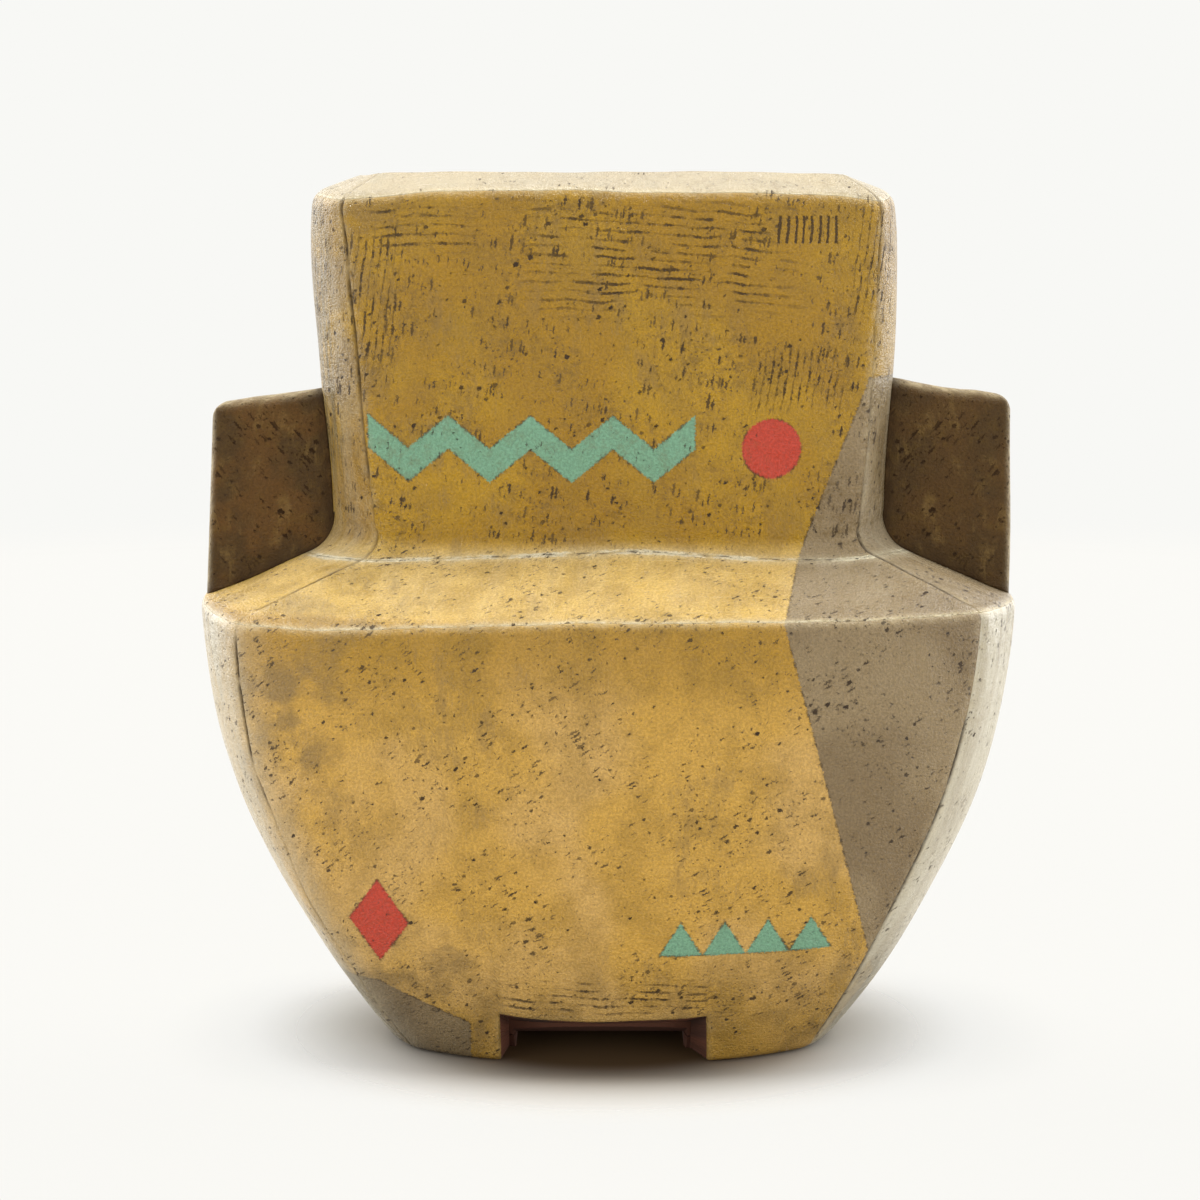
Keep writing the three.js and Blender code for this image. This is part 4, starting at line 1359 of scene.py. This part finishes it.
def makeOchreGlaze():
    material, tree, shader = newMaterial("ochreGlaze")
    place, flat, torn = surfacePlaces(tree)
    up = rightAndUp(tree, place)[1]
    clouds = useGroup(tree, glazeClouds, Flat=flat, Patch=ochre["patch"], Smudge=ochre["smudge"])
    shapes = useGroup(tree, paintedShapes, Place=place, Torn=torn)
    pale, crease, edge = [attribute(tree, name) for name in ("pale", "crease", "edge")]
    at = {name: eased(tree, up, *heights) for name, heights in ochre["heights"].items()}
    # golden on the neck, sandy on the body, and honey on the shoulder between them, as painted light on
    # its upturned top
    onNeck = tinted(tree, clouds["warm"], paint(*glaze["golden"]), "amber")
    below = tinted(tree, clouds["warm"], paint(*glaze["sand"]), "peach")
    below = tinted(tree, times(tree, at["honey"], ochre["honey"]), below, "honey")
    colour = mixed(tree, at["body"], onNeck, below)
    # darker amber in a band under the shoulder's edge, partly thicker glaze and partly painted shade
    # below the edge, and thicker in a band under the rim, with stains, smudges and smoke
    stains = eased(tree, noise(tree, moved(tree, flat, 2, 30), 0.07, 3, 0.6), 0.40, 0.68)
    band = times(tree, at["underEdge"], at["overEdge"])
    band = most(tree, band, times(tree, at["underRim"], ochre["amberRim"]))
    colour = tinted(tree, times(tree, band, ochre["amber"]), colour, "amber")
    olive = times(tree, timesPlus(tree, band, ochre["oliveBand"], ochre["olive"]), stains)
    colour = tinted(tree, olive, colour, "olive")
    grey = times(tree, insideAreas(tree, place, smoked["areas"], smoked["soft"]), stains)
    grey = times(tree, grey, ochre["smoked"])
    grey = most(tree, times(tree, clouds["smudge"], ochre["mauve"]), grey)
    colour = tinted(tree, grey, colour, "mauve")
    taupe = tinted(tree, clouds["warm"], paint(*glaze["taupe"]), "taupeDark")
    colour = mixed(tree, shapes["taupe"], colour, taupe)
    # chalk where it ran thin, with ash in its runs; the pale is partly painted sheen on the end walls and
    # partly painted light on the shoulder
    runs = times(tree, eased(tree, clouds["runs"], 0.62, 0.36), at["belowLip"])
    chalkyAndSheen = times(tree, pale, timesPlus(tree, runs, -0.3, 1.1), clamp=True)
    chalk = tinted(tree, times(tree, runs, at["ash"]), paint(*glaze["chalk"]), "ash")
    colour = mixed(tree, chalkyAndSheen, colour, chalk)
    # milky in the crease, where it pooled, partly a painted highlight there, and a painted highlight along
    # the shoulder's edge
    milky = calc(tree, "POWER", crease, 1.5)
    pooled = timesPlus(tree, less(tree, noise(tree, flat, 0.5, 3, 0.6), 0.5), 0.35, crease)
    pooled = eased(tree, pooled, 0.80, 0.96)
    pooled = times(tree, pooled, eased(tree, noise(tree, flat, 0.07, 3, 0.6), 0.38, 0.52))
    edgeHighlight = times(tree, calc(tree, "POWER", edge, 5.0), at["onEdge"])
    edgeHighlight = times(tree, edgeHighlight, eased(tree, noise(tree, flat, 0.16, 4, 0.7), 0.34, 0.56))
    for name, amount in (("milky", milky), ("pooled", pooled), ("edge", edgeHighlight)):
        colour = tinted(tree, times(tree, amount, ochre[name]), colour, "milk")
    # umber at the foot, and smoky strokes on the pale slabs of the neck
    umber = timesPlus(tree, stains, ochre["umberStains"], ochre["umber"])
    colour = tinted(tree, times(tree, at["foot"], umber), colour, "umber")
    smoky = times(tree, eased(tree, clouds["strokes"], 0.41, 0.60), eased(tree, pale, 0.2, 0.3))
    smoky = times(tree, smoky, times(tree, at["smoke"], at["belowLip"]))
    colour = tinted(tree, times(tree, smoky, ochre["smoke"]), colour, "smoke")
    # the painted shapes, with oxide along their outlines
    for name in ("teal", "coral"):
        colour = tinted(tree, shapes[name], colour, name)
    outline = times(tree, shapes["rim"], eased(tree, clouds["streaks"], 0.40, 0.62))
    outline = times(tree, outline, less(tree, 1.0, chalkyAndSheen))
    colour = tinted(tree, times(tree, outline, ochre["outline"]), colour, "oxide")
    # the dashes stand upright on the neck and slant on the body
    isNeck = calc(tree, "GREATER_THAN", up, neckFootHeight)
    look = {
        "gloss": ochre["gloss"], "ior": ochre["ior"], "pits": ochre["pits"],
        "dirt": timesPlus(tree, at["body"], ochre["dirt"][1], ochre["dirt"][0]),
        "dashSize": timesPlus(tree, at["body"], ochre["dashSize"][1], ochre["dashSize"][0]),
        "dashTurn": timesPlus(tree, isNeck, ochre["dashTurn"][1], ochre["dashTurn"][0]),
    }
    # paint fills the pits, and few show on the lip
    clean = most(tree, shapes["teal"], shapes["coral"], at["lip"])
    marked = timesPlus(tree, clean, -0.45, 1.0)
    lines = scoredLines(tree, place, flat, torn)
    finishGlaze(tree, shader, colour, clouds, flat, torn, look, lines, marked)
    return material


finLook = {
    "gloss": 0.42, "ior": 1.24, "pits": 1.15, "dirt": 0.3, "dashSize": 0.33, "dashTurn": -0.9,
    "patch": 14.0, "smudge": 5.0, "mauve": 0.4,
    # painted shade: the fin on the right is coloured darker
    "rightShadeFrom": -20.0, "rightShadeTo": 20.0, "rightShade": 0.6,  # the fin on the right is darker
}


# The fins' glaze, brown with mauve smudges, and painted shade on the fin at the right
def makeTaupeGlaze():
    material, tree, shader = newMaterial("taupeGlaze")
    place, flat, torn = surfacePlaces(tree)
    clouds = useGroup(tree, glazeClouds, Flat=flat, Patch=finLook["patch"], Smudge=finLook["smudge"])
    colour = tinted(tree, clouds["warm"], paint(*glaze["finBrown"]), "finDark")
    # painted shade, darker towards the fin on the right
    rightShade = eased(tree, rightAndUp(tree, place)[0], finLook["rightShadeFrom"], finLook["rightShadeTo"])
    colour = tinted(tree, times(tree, rightShade, finLook["rightShade"]), colour, "finDark")
    colour = tinted(tree, times(tree, clouds["smudge"], finLook["mauve"]), colour, "mauve")
    finishGlaze(tree, shader, colour, clouds, flat, torn, finLook)
    return material


clay = {
    "red": (112, 66, 46), "dark": (70, 44, 32), "rough": 0.7, "roughStreaks": 0.2,
    "patch": 14.0, "smudge": 4.0, "oxide": 0.6, "relief": 0.4,
}


# The fired clay itself, inside the vase and under its floor
def makeBareClay():
    material, tree, shader = newMaterial("bareClay")
    flat = surfacePlaces(tree)[1]
    clouds = useGroup(tree, glazeClouds, Flat=flat, Patch=clay["patch"], Smudge=clay["smudge"])
    colour = mixed(tree, clouds["warm"], paint(*clay["red"]), paint(*clay["dark"]))
    colour = tinted(tree, times(tree, clouds["smudge"], clay["oxide"]), colour, "oxide")
    tree.links.new(colour, shader.inputs["Base Color"])
    dull = timesPlus(tree, clouds["streaks"], clay["roughStreaks"], clay["rough"])
    tree.links.new(dull, shader.inputs["Roughness"])
    relief = times(tree, clouds["grain"], clay["relief"])
    addRelief(tree, shader, relief)
    return material


ochreGlaze, taupeGlaze, bareClay = makeOchreGlaze(), makeTaupeGlaze(), makeBareClay()
print("glazes mixed")

addVessel([ochreGlaze, bareClay])
addFin("left", fin["insetLeft"], [taupeGlaze])
addFin("right", fin["insetRight"], [taupeGlaze])
print("fins made")
for name in ("base_floor", "foot_left", "foot_right"):
    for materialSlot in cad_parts[name].material_slots:
        materialSlot.material = bareClay

studio = {
    "background": (248, 248, 245),
    "floor": (194, 190, 182),
    "floorFadeFrom": 450, "floorFadeTo": 1300,  # the floor melts into the background
    "glareFrom": 60, "glareTo": 108, "glare": 0.86,  # nearer by, the eye sees it washed out
    "glareDepth": 0.85,  # the ring of glare is this deep for its width
    # painted shadow: the floor is coloured darker and warmer under the foot
    "shadeFrom": 44, "shadeTo": 72, "shade": (102, 82, 58),  # the floor is warmer under the foot
    "ambient": 0.36,
    "floorHalf": 4000, "floorHeight": -0.05,
    # spread and turn are in degrees
    "lamps": {
        "overhead": {"strength": 3.4, "spread": 17, "turn": (-2, -1, 0)},
        "frontLeft": {"strength": 1.15, "spread": 50, "turn": (82, 0, -45)},
        "frontRight": {"strength": 1.15, "spread": 50, "turn": (82, 0, 45)},
        "leftBehind": {"strength": 2.6, "spread": 60, "turn": (-72, 0, 56)},
        "rightBehind": {"strength": 2.6, "spread": 60, "turn": (-72, 0, -56)},
    },
}


# A wide lamp far away, so that the light is as strong everywhere
def addLamp(name, strength, spread, turn):
    lamp = bpy.data.lights.new(name, "SUN")
    lamp.energy = strength
    lamp.angle = math.radians(spread)
    holder = bpy.data.objects.new(name, lamp)
    holder.rotation_euler = [math.radians(angle) for angle in turn]
    bpy.context.scene.collection.objects.link(holder)


# An even grey light, while the eye, gloss and glass see the pale background
def addWorld():
    world = bpy.data.worlds.new("studio")
    bpy.context.scene.world = world
    world.use_nodes = True
    tree = world.node_tree
    tree.nodes.clear()
    rays = node(tree, "ShaderNodeLightPath").outputs
    seen = most(tree, *[rays[name] for name in ("Is Camera Ray", "Is Glossy Ray", "Is Transmission Ray")])
    ambient = (studio["ambient"],) * 3 + (1,)
    colour = mixed(tree, seen, ambient, paint(*studio["background"]))
    light = node(tree, "ShaderNodeBackground", {"Color": colour, "Strength": 1.0})
    node(tree, "ShaderNodeOutputWorld", {"Surface": light.outputs[0]})


# The floor keeps the vase's shadow, has a painted shadow under the foot, and washes out into the
# background for the eye alone
def addFloor():
    side = studio["floorHalf"] * metresPerMm
    low = studio["floorHeight"] * metresPerMm
    corners = [(-side, -side, low), (side, -side, low), (side, side, low), (-side, side, low)]
    mesh = bpy.data.meshes.new("floor")
    mesh.from_pydata(corners, [], [(0, 1, 2, 3)])
    floor = bpy.data.objects.new("floor", mesh)
    bpy.context.scene.collection.objects.link(floor)
    material = bpy.data.materials.new("floor")
    material.use_nodes = True
    tree = material.node_tree
    tree.nodes.clear()
    place = node(tree, "ShaderNodeTexCoord").outputs["Object"]
    place = vectorCalc(tree, "SCALE", place, Scale=1 / metresPerMm)
    distance = vectorCalc(tree, "LENGTH", place)
    fade = eased(tree, distance, studio["floorFadeFrom"], studio["floorFadeTo"])
    ring = vectorCalc(tree, "LENGTH", stretched(tree, place, 1.0, 1 / studio["glareDepth"]))
    glare = eased(tree, ring, studio["glareFrom"], studio["glareTo"])
    glare = times(tree, glare, node(tree, "ShaderNodeLightPath").outputs["Is Camera Ray"])
    fade = most(tree, fade, times(tree, glare, studio["glare"]))
    # the painted shadow under the foot
    shade = eased(tree, ring, studio["shadeTo"], studio["shadeFrom"])
    colour = mixed(tree, shade, paint(*studio["floor"]), paint(*studio["shade"]))
    surface = node(tree, "ShaderNodeBsdfDiffuse", {"Color": colour})
    clear = node(tree, "ShaderNodeBsdfTransparent")
    both = node(tree, "ShaderNodeMixShader", {0: fade, 1: surface.outputs[0], 2: clear.outputs[0]})
    node(tree, "ShaderNodeOutputMaterial", {"Surface": both.outputs[0]})
    mesh.materials.append(material)


addWorld()
addFloor()
for name, settings in studio["lamps"].items():
    addLamp(name, **settings)
bpy.context.scene.view_settings.view_transform = "Standard"
print("studio lit")
